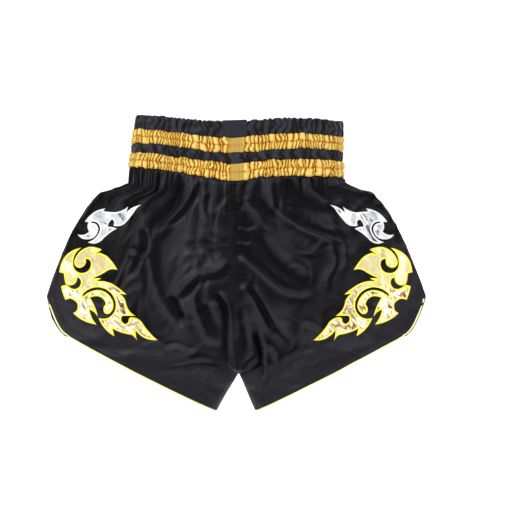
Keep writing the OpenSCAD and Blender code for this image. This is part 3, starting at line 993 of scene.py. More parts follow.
def drape_panels():
    """Moves of each panel's coarse grid once the sewn cloth has buckled into folds."""
    rows, cols = COARSE
    u, v, _ = panel_grid(rows, cols)
    keys = list(PANEL_NODES)
    smooth = {key: panel_face(u, v) * panel_signs(key) for key in keys}
    stacked = np.concatenate([smooth[key].reshape(-1, 3) for key in keys])
    _, first, back = np.unique(np.round(stacked, 6), axis=0, return_index=True,
                               return_inverse=True)
    back = back.reshape(-1)
    points = stacked[first]
    each = rows * cols
    quads = [back[grid_faces(rows, cols, k * each)] for k in range(len(keys))]
    quads = [q if np.prod(panel_signs(key)) > 0 else q[:, ::-1] for q, key in zip(quads, keys)]
    held = np.zeros((rows, cols), bool)
    held[0] = held[-1] = held[:, -1] = True
    held[:, 0] = v[:, 0] >= CROTCH_V
    held_points = np.unique(back[np.tile(held.ravel(), len(keys))])

    mesh = bpy.data.meshes.new("drape")
    mesh.from_pydata(points.tolist(), [], np.concatenate(quads).tolist())
    cloth = bpy.data.objects.new("drape", mesh)
    bpy.context.collection.objects.link(cloth)
    pins = cloth.vertex_groups.new(name="pins")
    pins.add(held_points.tolist(), 1.0, "REPLACE")

    # A first ripple decides where the folds start
    across = np.arctan2(points[:, 1] / BAND_HALF_D, points[:, 0] / BAND_HALF_W)
    down = PANEL_TOP - points[:, 2]
    free = np.ones(len(points))
    free[held_points] = 0
    ripple = (soft_noise(across * 9, down / 0.12, 3) * 1.4
              + soft_noise(points[:, 0] / 0.045, points[:, 2] / 0.045 + points[:, 1] * 20, 5)) * MM
    outward = unit_rows(points * np.array([0.35, 1.0, 0.0]) + 1e-9)
    start = points + outward * (ripple * free)[:, None]
    mesh.vertices.foreach_set("co", start.astype(np.float32).ravel())

    # The cut cloth is wider than the body, most of all where it is gathered
    full = bpy.context.scene.shorts_body.fullness
    wide = 1 + full * mix(0.12, 1.0, np.exp(-down / 0.07))
    cut = points * np.stack([wide, wide, np.full_like(wide, 1.012)], axis=-1)
    cloth.shape_key_add(name="Basis")
    cut_key = cloth.shape_key_add(name="cut")
    cut_key.data.foreach_set("co", cut.astype(np.float32).ravel())
    cut_key.value = 0.0

    effect = cloth.modifiers.new("Cloth", "CLOTH")
    settings = effect.settings
    for label, value in CLOTH_SETTINGS.items():
        setattr(settings, label, value)
    settings.vertex_group_mass = "pins"
    settings.rest_shape_key = cut_key
    settings.effector_weights.gravity = 0.12
    effect.collision_settings.use_collision = False
    effect.collision_settings.use_self_collision = False
    effect.point_cache.frame_start = 1
    effect.point_cache.frame_end = DRAPE_FRAMES
    scene = bpy.context.scene
    scene.frame_start = 1
    scene.frame_end = DRAPE_FRAMES
    for number in range(1, DRAPE_FRAMES + 1):
        scene.frame_set(number)
    graph = bpy.context.evaluated_depsgraph_get()
    settled = cloth.evaluated_get(graph)
    moved = np.empty(len(points) * 3, np.float32)
    settled.data.vertices.foreach_get("co", moved)
    moved = moved.reshape(-1, 3) - points
    bpy.data.objects.remove(cloth)
    bpy.data.meshes.remove(mesh)
    scene.frame_set(1)

    limit = scene.shorts_body.fold_limit
    far = np.linalg.norm(moved, axis=1, keepdims=True)
    moved *= limit * np.tanh(far / limit) / np.maximum(far, 1e-9)
    moved[held_points] = 0
    shares = moved[back].reshape(len(keys), rows, cols, 3)
    return dict(zip(keys, shares))


def run_down(grid):
    """Distance of each point from its column's top, along the cloth."""
    steps = np.linalg.norm(np.diff(grid, axis=0), axis=2)
    return np.vstack([np.zeros(grid.shape[1]), np.cumsum(steps, axis=0)])


def rib_marks(length, pitch, seed):
    """Places along a gathered edge where one rib ends and the next begins."""
    rng = np.random.default_rng(seed)
    count = int(length / pitch * 1.5)
    widths = pitch * rng.choice([0.55, 0.8, 1.0, 1.3, 1.9], count,
                                p=[0.25, 0.27, 0.25, 0.15, 0.08])
    marks = np.concatenate([[0], np.cumsum(widths)])
    marks = marks[:np.searchsorted(marks, length)]
    return marks * (length / marks[-1]) - length / 2


def ribs(along, marks, power=0.6):
    """Rounded ribs between the marks: 0 in the valleys, and about 1 on a wide rib."""
    length = marks[-1] - marks[0]
    place = (along - marks[0]) % length + marks[0]
    k = np.clip(np.searchsorted(marks, place, side="right") - 1, 0, len(marks) - 2)
    width = marks[k + 1] - marks[k]
    share = clamped((place - marks[k]) / width)
    tall = np.clip(0.55 + 0.45 * width / (length / (len(marks) - 1)), 0.75, 1.1)
    return np.sin(math.pi * share) ** power * tall


CREASE_GAIN = 1.25


def crease_heights(key, grid):
    """Height of the listed creases over a panel's points."""
    face, side = key
    kind = side if face == "back" else {"left": "right", "right": "left"}[side]
    flip = 1.0 if face == "back" else -1.0
    flat = grid[..., [0, 2]].reshape(-1, 2) * np.array([flip, 1.0])
    total = np.zeros(len(flat))
    for height, width, points in CREASES[kind]:
        line = smooth_line(np.array(points) * MM)
        away, share = near_line(flat, line)
        fade = eased(share / 0.12) * eased((1 - share) / 0.3)
        wide = width * MM
        shape = bell(away / wide) - 0.55 * bell((away - 1.5 * wide) / wide)
        total += CREASE_GAIN * height * MM * fade * shape
    return total.reshape(grid.shape[:2])


def seam_sway(grid):
    """How far points near the middle hang to one side: left at the band, right at the crotch."""
    crotch_z = PANEL_TOP - bpy.context.scene.shorts_body.rise
    x, z = grid[..., 0], grid[..., 2]
    at_band = -4.5 * MM * eased((z - crotch_z) / 0.2 - 0.15)
    at_crotch = 3.5 * MM * bell((z - crotch_z) / 0.03)
    wander = 1.0 * MM * soft_noise(z / 0.05, 0 * z, 71) * eased((z - crotch_z) / 0.05)
    return (at_band + at_crotch + wander) * bell(x / 0.04)


def free_edge(key):
    """Flat line of the vent's edge and the hem, as x and z."""
    v = np.linspace(VENT_V, 1, 30)
    vent = np.stack(outer_edge(v), axis=-1)
    hem = np.stack(inner_edge(np.array([1.0])), axis=-1)
    signs = panel_signs(key)[[0, 2]]
    return np.vstack([vent, hem]) * signs


QUARTER_BAND = 154 * MM  # length of the band above one panel
# Gathers below the band: pitch, height and reach down the cloth in mm, lean and roundness
GATHERS = ((7, 2.6, 16, 0.4, 0.8), (15, 3.4, 40, 1, 0.9), (34, 3.8, 90, 2, 1.2))
CRINKLES = ((30, 1.5), (13, 0.6))  # size and height in mm
PUCKER_PITCH = 5.5 * MM
TUCK = 5 * MM  # how far a panel reaches up behind the lowest ribbon


def outward_normals(grid, signs):
    """Unit directions out of a panel's face."""
    return -grid_normals(grid) * signs[0] * signs[1]


def gather_heights(along, down, seed):
    """Gathers that run down from the band and die away."""
    lean = 3 * MM * soft_noise(along / 0.02, down / 0.03, seed)
    start = 0.35 + 0.65 * eased(down / 0.008)
    total = 0
    for k, (pitch, tall, reach, sway, power) in enumerate(GATHERS):
        marks = rib_marks(QUARTER_BAND, pitch * MM, seed + 10 * k)
        rise = ribs(along + lean * sway, marks, power) - 0.5
        total = total + rise * tall * np.exp(-down / (reach * MM))
    return start * total * MM


def crinkle_heights(x, z, down, seed):
    """Broad unevenness of the hanging cloth, with crinkles over it."""
    calm = soft_noise(x / 0.05, z / 0.05, seed + 30)
    twist = soft_noise(x / 0.03, z / 0.03, seed + 31)
    total = 0.7 * calm * eased(down / 0.06)
    for k, (size, tall) in enumerate(CRINKLES):
        scale = size * MM
        bumps = soft_noise(x / scale + twist, z / scale + twist, seed + 32 + k)
        total += tall * (0.6 - np.abs(bumps)) * (0.5 + 0.5 * calm) * eased(down / 0.03)
    return total * MM


def centre_seam_heights(v, from_centre, down, seed):
    """Groove of the centre seam, with puckers beside its stitches."""
    wander = soft_noise(down / 0.02, 0, seed) * 2
    pucker = 0.5 + 0.5 * np.sin(down / PUCKER_PITCH * math.tau + wander)
    return (v < CROTCH_V) * MM * (-0.25 * bell(from_centre / (1.2 * MM))
                                  - 0.5 * pucker * bell((from_centre - 4 * MM) / (2.5 * MM)))


def tucked_top(grid, u, v, t, signs):
    """Moves a panel's top with the band and adds a row tucked behind the lowest ribbon."""
    band_x = BAND_HALF_W * np.sin(t * math.pi / 2) * signs[0]
    band_y = -BAND_HALF_D * np.cos(t * math.pi / 2) * signs[1]
    lift, share = band_drift(band_x, band_y)
    fade = mix(0.16, 0.055, u * u)
    grid[..., 2] += (lift + share * PANEL_TOP - PANEL_TOP) * (1 - eased(v / fade))
    x, y, z = band_x[0], band_y[0], grid[0, :, 2].copy()
    inward = unit_rows(np.stack([x / BAND_HALF_W ** 2, y / BAND_HALF_D ** 2, 0 * x], axis=-1))
    grid[0] = np.stack([x, y, z + 0.3 * MM], axis=-1) - 1.0 * MM * inward
    tucked = np.stack([x, y, z + TUCK], axis=-1) - 1.05 * MM * inward
    return np.concatenate([tucked[None], grid])


def panel_surface(key, drape):
    """Final face of one panel, its distance from the free edge, and how much painted sheen its
    colour gets.
    """
    rows, cols = FINE
    u, v, t = panel_grid(rows, cols)
    signs = panel_signs(key)
    face = panel_face(u, v) * signs
    outward = outward_normals(face, signs)
    down = run_down(face)
    along = t * QUARTER_BAND
    seed = 20 + list(PANEL_NODES).index(key)
    edge = np.abs(near_line(face[..., [0, 2]].reshape(-1, 2), free_edge(key))[0])
    edge = edge.reshape(rows, cols)

    # Folds die away at the seams, the hem and the vent
    height = gather_heights(along, down, seed) + crease_heights(key, face)
    height += crinkle_heights(face[..., 0], face[..., 2], down, seed)
    height *= eased(t / 0.04) * eased((1 - t) / 0.05)
    height *= (0.25 + 0.75 * eased(edge / 0.03)) * eased(edge / 0.006 + (v < 0.7))
    height += centre_seam_heights(v, along, down, seed)

    final = face + refine(drape[key], rows, cols) + outward * height[..., None]
    final = tucked_top(final, u, v, t, signs)
    final[..., 0] += seam_sway(final)

    # Painted sheen: slopes that face up and to the left catch the light, and so do the crests, so
    # the satin's colour is painted lighter there and darker elsewhere
    tilt = outward_normals(final[1:], signs) - outward
    shine = clamped(0.5 - 0.6 * tilt[..., 0] + 0.8 * tilt[..., 2] + 0.1 * height / MM)
    return final, np.concatenate([edge[:1], edge]), np.concatenate([shine[:1], shine])


class SHORTS_OT_body_panels(bpy.types.Operator):
    """Drapes and builds the four body panels with their topstitching"""
    bl_idname = "shorts.body_panels"
    bl_label = "Body Panels"

    def execute(self, context):
        thick = context.scene.shorts_body.cloth
        drape = drape_panels()
        for key, stem in PANEL_NODES.items():
            grid, edge, shine = panel_surface(key, drape)
            outward = outward_normals(grid, panel_signs(key))
            points, faces, inside = closed_sheet(grid, -outward * thick)
            # The shine attribute carries the painted sheen and painted shade into the satin's
            # colour
            piece = make_piece(f"{stem}_satin_panel", points, faces,
                               [finish_of("satin"), finish_of("lining")],
                               {"edge": np.tile(edge.ravel(), 2),
                                "shine": np.tile(shine.ravel(), 2)}, inside)
            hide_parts(f"{stem}_panel")
            self.stitching(stem, grid, outward, edge)
        return {"FINISHED"}

    def stitching(self, stem, grid, outward, edge):
        """Topstitches beside the centre seam and along the vent and the hem."""
        rows = len(grid)
        crotch_row = int(CROTCH_V * (rows - 1))
        lines = []
        if "left" in stem:
            path = grid[2:crotch_row, 3]
            up = outward[2:crotch_row, 3]
            lines.append((path + up * STITCH_LIFT, up, SPARSE_STITCHES))
        vent_row = int((VENT_V + 0.05) * (rows - 1))
        for distance in HEM_LINES:
            lines.append(self.edge_line(grid, outward, edge, distance, vent_row))
        return make_stitches(f"{stem}_topstitching", lines, finish_of("black_thread"))

    def edge_line(self, grid, outward, edge, distance, vent_row):
        """Line on the cloth at a distance from the vent and the hem."""
        places, normals = [], []
        rows, cols = grid.shape[:2]
        for row in range(vent_row, rows - 6, 2):
            column = int(np.argmin(np.abs(edge[row, cols // 2:] - distance))) + cols // 2
            if abs(edge[row, column] - distance) < 2 * MM and column > cols * 0.8:
                places.append(grid[row, column])
                normals.append(outward[row, column])
        for column in range(int(cols * 0.86), 3, -2):
            reach = edge[rows // 2:, column]
            k = int(np.argmin(np.abs(reach - distance))) + rows // 2
            k = min(max(k, 1), rows - 2)
            step = edge[k + 1, column] - edge[k - 1, column]
            shift = 0.0 if abs(step) < 1e-6 else (distance - edge[k, column]) / step * 2
            shift = float(np.clip(shift, -1, 1))
            other = k + (1 if shift > 0 else -1)
            places.append(mix(grid[k, column], grid[other, column], abs(shift)))
            normals.append(outward[k, column])
        normals = np.array(normals)
        return np.array(places) + normals * STITCH_LIFT, normals, CLOSE_STITCHES


class SHORTS_OT_gusset(bpy.types.Operator):
    """Builds the crotch gusset between the legs"""
    bl_idname = "shorts.gusset"
    bl_label = "Crotch Gusset"

    def execute(self, context):
        reach = 0.97
        s = np.linspace(-reach, reach, 61)[:, None]
        a = np.linspace(-1, 1, 25)[None, :]
        v = mix(CROTCH_V, GUSSET_END_V, np.abs(s))
        x, z = inner_edge(v)
        half = gusset_half(v) - 0.3 * MM
        pucker = 0.4 * MM * soft_noise(s * 9, a * 2.5, 61) * (1 - a * a)
        sag = 1.2 * MM * (1 - a * a) * (1 - np.abs(s))
        grid = np.stack([np.sign(s) * x + 0 * a, half * a, z - sag + pucker + 0 * a], axis=-1)
        grid[..., 0] += seam_sway(grid)
        normals = grid_normals(grid)
        normals = normals * np.sign(normals[..., 2:3] + 1e-9)
        thick = context.scene.shorts_body.cloth
        points, faces, inside = closed_sheet(grid, normals * thick)
        # Edge 0.03 colours the gusset as facing cloth, with the facing's painted sheen
        piece = make_piece("crotch_gusset_satin", points, faces,
                           [finish_of("satin"), finish_of("lining")],
                           {"edge": np.full(len(points), 0.03)}, inside)
        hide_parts("crotch_gusset")
        return {"FINISHED"}


# ---- Waistband ----

JOIN = (-6.5 * MM, 11 * MM)  # flat join of the ribbons at the back, across
TOP_JOIN = (-18 * MM, 15.5 * MM)  # flat join of the top tunnel at the back, across
JOIN_LINES = 2.1 * MM  # spacing of the lines up the ribbons' join
BAND_LEAN = 9 * MM  # how far the band's -X side leans in at the top
OVERLAP = 2.6 * MM  # how far a tunnel reaches in behind the ribbon next to it

# Places of the band's layers, out from its oval
RIBBON_BACK = -0.8 * MM
TUNNEL_BACK = -1.3 * MM
TAPE_FACE = -2.15 * MM
TAPE_BACK = -3.0 * MM
LINING_BACK = -3.3 * MM
LINING_FACE = -4.1 * MM
FOLD_BACK = -5.2 * MM  # inner face of the top tunnel, folded down inside

# Inner face of the top tunnel from its hem round over the elastic, in mm out and up
TOP_TUNNEL_LINER = ((-4.5, -7), (-4.5, -2), (-4.2, 0.6), (-2.6, 1.6), (-1.2, 0.6), (-0.9, -2))

# How far each ribbon's top and bottom edges sit below the CAD rows
RIBBON_DROPS = {1: (2.6 * MM, 1.5 * MM), 3: (0.4 * MM, 0.0)}


class BandRing:
    """Evenly spaced places round the band's oval, from the back's middle towards +X."""

    def __init__(self, count):
        fine = np.linspace(-math.pi, math.pi, 20001)
        x = BAND_HALF_W * np.sin(fine)
        y = -BAND_HALF_D * np.cos(fine)
        run = np.concatenate([[0], np.cumsum(np.hypot(np.diff(x), np.diff(y)))])
        self.length = run[-1]
        self.along = np.linspace(0, self.length, count, endpoint=False) - self.length / 2
        angle = np.interp(self.along + self.length / 2, run, fine)
        self.x = BAND_HALF_W * np.sin(angle)
        self.y = -BAND_HALF_D * np.cos(angle)
        out = unit_rows(np.stack([self.x / BAND_HALF_W ** 2, self.y / BAND_HALF_D ** 2], axis=-1))
        self.out_x, self.out_y = out[:, 0], out[:, 1]
        self.lift, self.share = band_drift(self.x, self.y)

    def points(self, height, z):
        """Points at heights above the oval's face, at band heights z."""
        up = clamped((z - BAND_BOTTOM) / -BAND_BOTTOM)
        lean = BAND_LEAN * up * eased(-self.x / BAND_HALF_W)
        return np.stack([self.x + lean + self.out_x * height, self.y + self.out_y * height,
                         self.lift + self.share * z], axis=-1)

    def flat_zone(self, zone):
        """One inside a flat zone at the back, zero outside it."""
        low, high = zone
        edge = 1.2 * MM
        inside = eased((self.x - low) / edge) * eased((high - self.x) / edge)
        return inside * (self.y < 0)

    def wave(self, boundary):
        """Unevenness of one of the stitched lines between the rows."""
        if boundary == 0:
            return 0 * self.along
        turn = self.along / self.length * math.tau
        rng = np.random.default_rng(400 + boundary)
        total = 0
        for k in range(2, 26):
            total = total + rng.normal() / k ** 0.6 * np.sin(k * turn + rng.uniform(0, math.tau))
        return total * 0.55 * MM


def ring_piece(name, ring, grid, material, rise, node):
    """A closed ring whose section runs right round, replacing one CAD ring."""
    faces = grid_faces(*grid.shape[:2], wrap_rows=True, wrap_cols=True)
    join = np.tile(ring.flat_zone(JOIN), (len(grid), 1))
    piece = make_piece(name, grid, faces, [material], {"rise": rise, "join": join})
    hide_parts(node)
    return piece


def gathered_heights(ring, q, pitch, seed, power, lean, curl=1.3):
    """Rib heights over a ring of rows at shares q of a row's height."""
    marks = rib_marks(ring.length, pitch, seed)
    sway = lean * soft_noise(ring.along[None, :] / (2.0 * pitch), q[:, None] * curl, seed + 1)
    return ribs(ring.along[None, :] + sway, marks, power)


def ribbon_ribs(ring, q, seed):
    """Ribs over a ribbon's rows; below its middle stitches some swap to another set."""
    pitch = bpy.context.scene.shorts_band.rib_pitch
    upper = gathered_heights(ring, q, pitch, seed, 0.55, 1.3 * MM, 3.2)
    other = gathered_heights(ring, q, pitch * 1.12, seed + 7, 0.55, 1.3 * MM, 3.2)
    below = eased((q[:, None] - 0.46) / 0.08)
    swap = eased(soft_noise(ring.along / 0.014, 0, seed + 3) * 3 + 0.6)[None, :] * below
    return mix(upper, other, swap)


def ribbon_rise(ring, q, rib, seed):
    """The ribs pinched by their stitches and wrinkled, with the flat join, near 0 to 1; the rise
    also sets the gold's painted highlight and painted shade.
    """
    along = ring.along[None, :]
    half = ((2 * q) % 1)[:, None]
    half[-1] = 1
    pinch = (4 * half * (1 - half)) ** 0.5
    mid_stitch = bell((q[:, None] - 0.5) / 0.05)
    wrinkle = soft_noise(along / (1.5 * MM), q[:, None] * 8, seed + 11)
    broad = soft_noise(along / (9 * MM), q[:, None] * 1.5, seed + 13)
    # Lower at the middle stitches: in the colour, painted shade along them
    puffed = rib * (0.72 + 0.28 * pinch) * (1 - 0.3 * mid_stitch) + 0.11 * wrinkle + 0.05 * broad
    lines = 0.56 + 0.12 * np.sin(ring.x / JOIN_LINES * math.tau)[None, :] - 0.15 * mid_stitch
    return mix(puffed, lines, ring.flat_zone(JOIN)[None, :])


def ribbon_row(ring, row, seed):
    """Points of a gold ribbon, and how far up its ribs each one lies."""
    q = np.linspace(0, 1, 37)
    rib = ribbon_ribs(ring, q, seed)
    rise = ribbon_rise(ring, q, rib, seed)
    flat = ring.flat_zone(JOIN)
    height = 0.2 * MM + bpy.context.scene.shorts_band.rib_height * mix(
        rise, rise * 0.3 + 0.25, flat[None, :])
    height = height * (0.45 + 0.55 * eased(np.minimum(q, 1 - q)[:, None] / 0.08))

    # Both edges follow the stitched lines, and the ribs push them out raggedly
    top, bottom = ROW_TOPS[row], (ROW_TOPS + [BAND_BOTTOM])[row + 1]
    drop_top, drop_low = RIBBON_DROPS[row]
    ragged = (1 - flat) * 1.0 * MM
    z_top = top + ring.wave(row) - 1.0 * MM - drop_top + ragged * (
        1.5 * (rib[0] - 0.6) + 0.8 * soft_noise(ring.along / 0.006, 0, seed + 17))
    z_low = bottom + (ring.wave(row + 1) if row < 3 else 0) + 0.9 * MM - drop_low - ragged * (
        1.5 * (rib[-1] - 0.6) + 0.8 * soft_noise(ring.along / 0.006, 3, seed + 19))
    z = mix(z_top[None, :], z_low[None, :], q[:, None])
    outer = [ring.points(height[k], z[k]) for k in range(len(q))]
    inner = [ring.points(RIBBON_BACK, mix(z_top, z_low, b)) for b in np.linspace(1, 0, 5)]
    # The ribbon's back gets no rise, so it is painted with the valley's shade
    plain = np.zeros((len(inner), len(ring.x)))
    return np.stack(outer + inner), np.concatenate([clamped(rise), plain])


def tunnel_heights(ring, q, pitch, seed, flat_zone):
    """Soft gathers of a black tunnel with its stitched edges."""
    sizes = bpy.context.scene.shorts_band
    soft = gathered_heights(ring, q, pitch, seed, 0.8, 3 * MM, 2.0)
    broad = gathered_heights(ring, q, pitch * 2.1, seed + 5, 1.0, 4 * MM)
    noise = soft_noise(ring.along[None, :] / 0.004, q[:, None] * 4, seed + 9)
    flat = 0.0 if flat_zone is None else ring.flat_zone(flat_zone)[None, :]
    # The rise also paints the tunnels' colour: painted highlight on the gathers, painted shade
    # between them
    rise = mix(clamped(0.6 * soft + 0.3 * broad + 0.16 * noise), 0.7, flat)
    return rise, sizes.tunnel_height * rise


class SHORTS_OT_band_rows(bpy.types.Operator):
    """Builds the gathered rows on the outside of the waistband"""
    bl_idname = "shorts.band_rows"
    bl_label = "Waistband Rows"

    def execute(self, context):
        ring = BandRing(context.scene.shorts_band.samples)
        for row, seed in ((1, 101), (3, 131)):
            grid, rise = ribbon_row(ring, row, seed)
            name = ROW_NODES[row]
            piece = ring_piece(f"{name}_satin", ring, grid, finish_of("gold"),
                               rise, name)
            seam = self.ribbon_stitches(ring, grid, name)
        self.middle_tunnel(ring)
        self.top_tunnel(ring)
        return {"FINISHED"}

    def ribbon_stitches(self, ring, grid, name):
        """Thread lying along the ribbon's middle and two more lines up the join."""
        middle = grid[18]
        outward = np.stack([ring.out_x, ring.out_y, 0 * ring.x], axis=-1)
        step = 8
        lines = [(middle[::step] + outward[::step] * RIBBON_STITCH_LIFT, outward[::step],
                  CLOSE_STITCHES)]
        for place in (-1.5 * MM, 5 * MM):
            k = int(np.argmin(np.hypot(ring.x - place, ring.y + BAND_HALF_D)))
            column = grid[2:35, k]
            up = np.tile(outward[k], (len(column), 1))
            lines.append((column + up * RIBBON_STITCH_LIFT, up, CLOSE_STITCHES))
        return make_stitches(f"{name}_stitching", lines, finish_of("gold_thread"))

    def middle_tunnel(self, ring):
        """The plain tunnel between the two ribbons."""
        q = np.linspace(0, 1, 17)
        rise, height = tunnel_heights(ring, q, 10 * MM, 211, None)
        height = height * (4 * q * (1 - q))[:, None] ** 0.6 - 0.4 * MM
        z_top = ROW_TOPS[2] + ring.wave(2) + OVERLAP
        z_low = ROW_TOPS[3] + ring.wave(3) - OVERLAP
        outer = [ring.points(height[k], mix(z_top, z_low, share)) for k, share in enumerate(q)]
        inner = [ring.points(TUNNEL_BACK, mix(z_top, z_low, share)) for share in (1, 0.5, 0)]
        grid = np.stack(outer + inner)
        # Painted shade: the rise falls towards the tunnel's stitched edges and is nothing on its
        # back
        rise = np.concatenate([rise * (0.3 + 0.7 * (4 * q * (1 - q))[:, None] ** 0.5),
                               np.zeros((3, len(ring.x)))])
        piece = ring_piece("middle_tunnel_satin", ring, grid, finish_of("tunnel"),
                           rise, "middle_tunnel")

    def top_tunnel(self, ring):
        """The plain tunnel along the top, folded over the edge and down inside."""
        sizes = bpy.context.scene.shorts_band
        q = np.linspace(1, 0, 21)
        rise, height = tunnel_heights(ring, q, 8.5 * MM, 241, TOP_JOIN)
        flat = ring.flat_zone(TOP_JOIN)
        notch = ribs(ring.along, rib_marks(ring.length, 6.5 * MM, 251), 0.5)
        notch = mix(np.clip(notch, 0, 1), 1.0, flat)
        for place in TOP_JOIN:
            notch = notch * (1 - 0.8 * bell((ring.x - place) / (0.9 * MM)) * (ring.y < 0))
        uneven = 0.5 * MM * soft_noise(ring.along / 0.009, 0, 253) * (1 - flat)
        brim = -sizes.scallop * (1 - notch) + uneven
        z_low = ROW_TOPS[1] + ring.wave(1) - RIBBON_DROPS[1][0] - OVERLAP
        round_r = 2.6 * MM
        shoulder = brim - round_r
        rows, rises = [], []
        for k, share in enumerate(q):
            edge = eased((1 - share) / 0.12)
            rows.append(ring.points(mix(-0.3 * MM, height[k], edge),
                                    mix(shoulder, z_low, share)))
            # Painted shade: the rise falls towards the tunnel's lower edge
            rises.append(rise[k] * (0.35 + 0.65 * edge))
        top_height = height[-1]
        for angle in np.linspace(0.18, 1, 7) * math.pi:
            across = mix(top_height, FOLD_BACK, (1 - math.cos(angle)) / 2)
            rows.append(ring.points(across, shoulder + round_r * math.sin(angle)))
            rises.append(rise[-1])
        # Inside the fold the rise is halved, and on the inner face it is nothing: painted shade
        # inside the band
        for drop in (2, 4.5, 7):
            rows.append(ring.points(FOLD_BACK - 0.3 * MM * rise[-1], shoulder - drop * MM))
            rises.append(rise[-1] * 0.5)
        for across, up in TOP_TUNNEL_LINER:
            rows.append(ring.points(across * MM, shoulder + up * MM))
            rises.append(0 * rise[-1])
        rows.append(ring.points(-1.1 * MM, z_low))
        rises.append(0 * rise[-1])
        piece = ring_piece("top_tunnel_satin", ring, np.stack(rows), finish_of("tunnel"),
                           np.stack(rises), "top_tunnel")


class SHORTS_OT_band_inside(bpy.types.Operator):
    """Builds the lining, the elastic tapes and the eyelets inside the waistband"""
    bl_idname = "shorts.band_inside"
    bl_label = "Waistband Inside"

    def execute(self, context):
        ring = BandRing(900)
        self.lining(ring)
        for name in ("top_elastic", "upper_elastic", "middle_elastic", "lower_elastic"):
            self.tape(ring, name)
        self.eyelets()
        return {"FINISHED"}

    def lining(self, ring):
        """Gathered lining against the wearer, flat round the eyelets."""
        q = np.linspace(0, 1, 41)
        flat = eased((0.034 - np.abs(ring.x)) / (8 * MM)) * (ring.y > 0)
        rise = gathered_heights(ring, q, 7.5 * MM, 307, 0.8, 2.5 * MM, 2.0)
        seams = [(z - BAND_BOTTOM) / -BAND_BOTTOM for z in ROW_TOPS[1:]]
        pinch = 1 - 0.75 * sum(bell((1 - q - s) / 0.018) for s in seams)
        depth = 0.9 * MM * rise * clamped(pinch)[:, None] * (1 - flat)[None, :]
        top, low = -4.2 * MM, BAND_BOTTOM + 0.3 * MM
        outer = [ring.points(LINING_BACK, mix(top, low, share)) for share in (1, 0.5, 0)]
        inner = [ring.points(LINING_FACE - depth[k], mix(top, low, q[k])) for k in range(len(q))]
        grid = np.stack(inner + outer)
        rise = np.concatenate([rise, np.zeros((3, len(ring.x)))])
        piece = ring_piece("waistband_lining_cloth", ring, grid, finish_of("lining"),
                           rise, "waistband_lining")

    def tape(self, ring, name):
        """One woven elastic tape with its ribbed face."""
        low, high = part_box(name)[0].z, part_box(name)[1].z
        high = min(high, -4.5 * MM)
        q = np.linspace(0, 1, 9)
        cords = 0.15 * MM * np.abs(np.sin(q * math.pi * 4))
        outer = [ring.points(TAPE_FACE + cords[k], mix(high, low, q[k])) for k in range(len(q))]
        inner = [ring.points(TAPE_BACK, mix(high, low, share)) for share in q[::-1]]
        grid = np.stack(outer + inner)
        piece = ring_piece(f"{name}_tape", ring, grid, finish_of("elastic"),
                           np.zeros(grid.shape[:2]), name)

    def eyelets(self):
        """Two rolled metal eyelets, turned from one section."""
        low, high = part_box("drawcord_eyelets")
        radius = (high.z - low.z) / 2
        centre_x = high.x - radius
        lift, share = band_drift(np.array([centre_x, -centre_x]), np.array([BAND_HALF_D] * 2))
        hole = radius - 2.5 * MM
        section = [(radius, 0.0), (radius, 0.35), (radius - 0.5 * MM, 0.8),
                   (radius - 1.3 * MM, 1.0), (hole + 0.5 * MM, 0.95), (hole, 0.6),
                   (hole - 0.1 * MM, -0.8), (hole + 0.3 * MM, -0.8), (hole + 0.5 * MM, 0.0)]
        turns = 40
        points, faces = [], []
        for k, sign in enumerate((1, -1)):
            middle = Vector((sign * centre_x, high.y, (low.z + high.z) / 2))
            middle.z = lift[k] + share[k] * middle.z
            for r, out in section:
                for a in np.linspace(0, math.tau, turns, endpoint=False):
                    points.append((middle.x + r * math.cos(a), middle.y - out * (high.y - low.y),
                                   middle.z + r * math.sin(a)))
            start = k * len(section) * turns
            faces += grid_faces(len(section), turns, start, wrap_rows=True, wrap_cols=True).tolist()
        piece = make_piece("drawcord_eyelets_metal", np.array(points), faces,
                           [finish_of("eyelet")])
        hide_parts("drawcord_eyelets")


# ---- Trim on the panels ----

def panel_tree(stem):
    """Search tree over the outer face of a finished panel."""
    mesh = bpy.data.objects[f"{stem}_satin_panel"].data
    return BVHTree.FromPolygons([p.co.copy() for p in mesh.vertices],
                                [tuple(p.vertices) for p in mesh.polygons])


class SHORTS_OT_piping(bpy.types.Operator):
    """Builds the pale piping along the vents and hems"""
    bl_idname = "shorts.piping"
    bl_label = "Hem Piping"

    def execute(self, context):
        radius = context.scene.shorts_trim.piping / 2
        rows, cols = FINE[0] + 1, FINE[1]
        first = int(VENT_V * (rows - 1)) + 2
        for stem in PANEL_NODES.values():
            mesh = bpy.data.objects[f"{stem}_satin_panel"].data
            flat = np.empty(len(mesh.vertices) * 3, np.float32)
            mesh.vertices.foreach_get("co", flat)
            both = flat.reshape(2, rows, cols, 3).astype(float)
            sheet = both.mean(axis=0)
            path = np.concatenate([sheet[first:, -1], sheet[-1, -2:0:-1]])
            inner = np.concatenate([sheet[first:, -4], sheet[-5, -2:0:-1]])
            corner = len(sheet[first:, -1])
            away = unit_rows((path - inner) * np.array([1, 0.25, 1]))
            away[corner - 4:corner + 6] = unit_rows(
                np.linspace(0, 1, 10)[:, None] * away[corner + 6]
                + np.linspace(1, 0, 10)[:, None] * away[corner - 5])
            path = path + away * radius
            for _ in range(12):
                path[1:-1] = (path[:-2] + 2 * path[1:-1] + path[2:]) / 4
            points, faces, run = tube(path, radius)
            piece = make_piece(f"{stem}_piping_cord", points, faces, [finish_of("piping")],
                               {"run": run})
            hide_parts(f"{stem}_hem_piping")
        return {"FINISHED"}


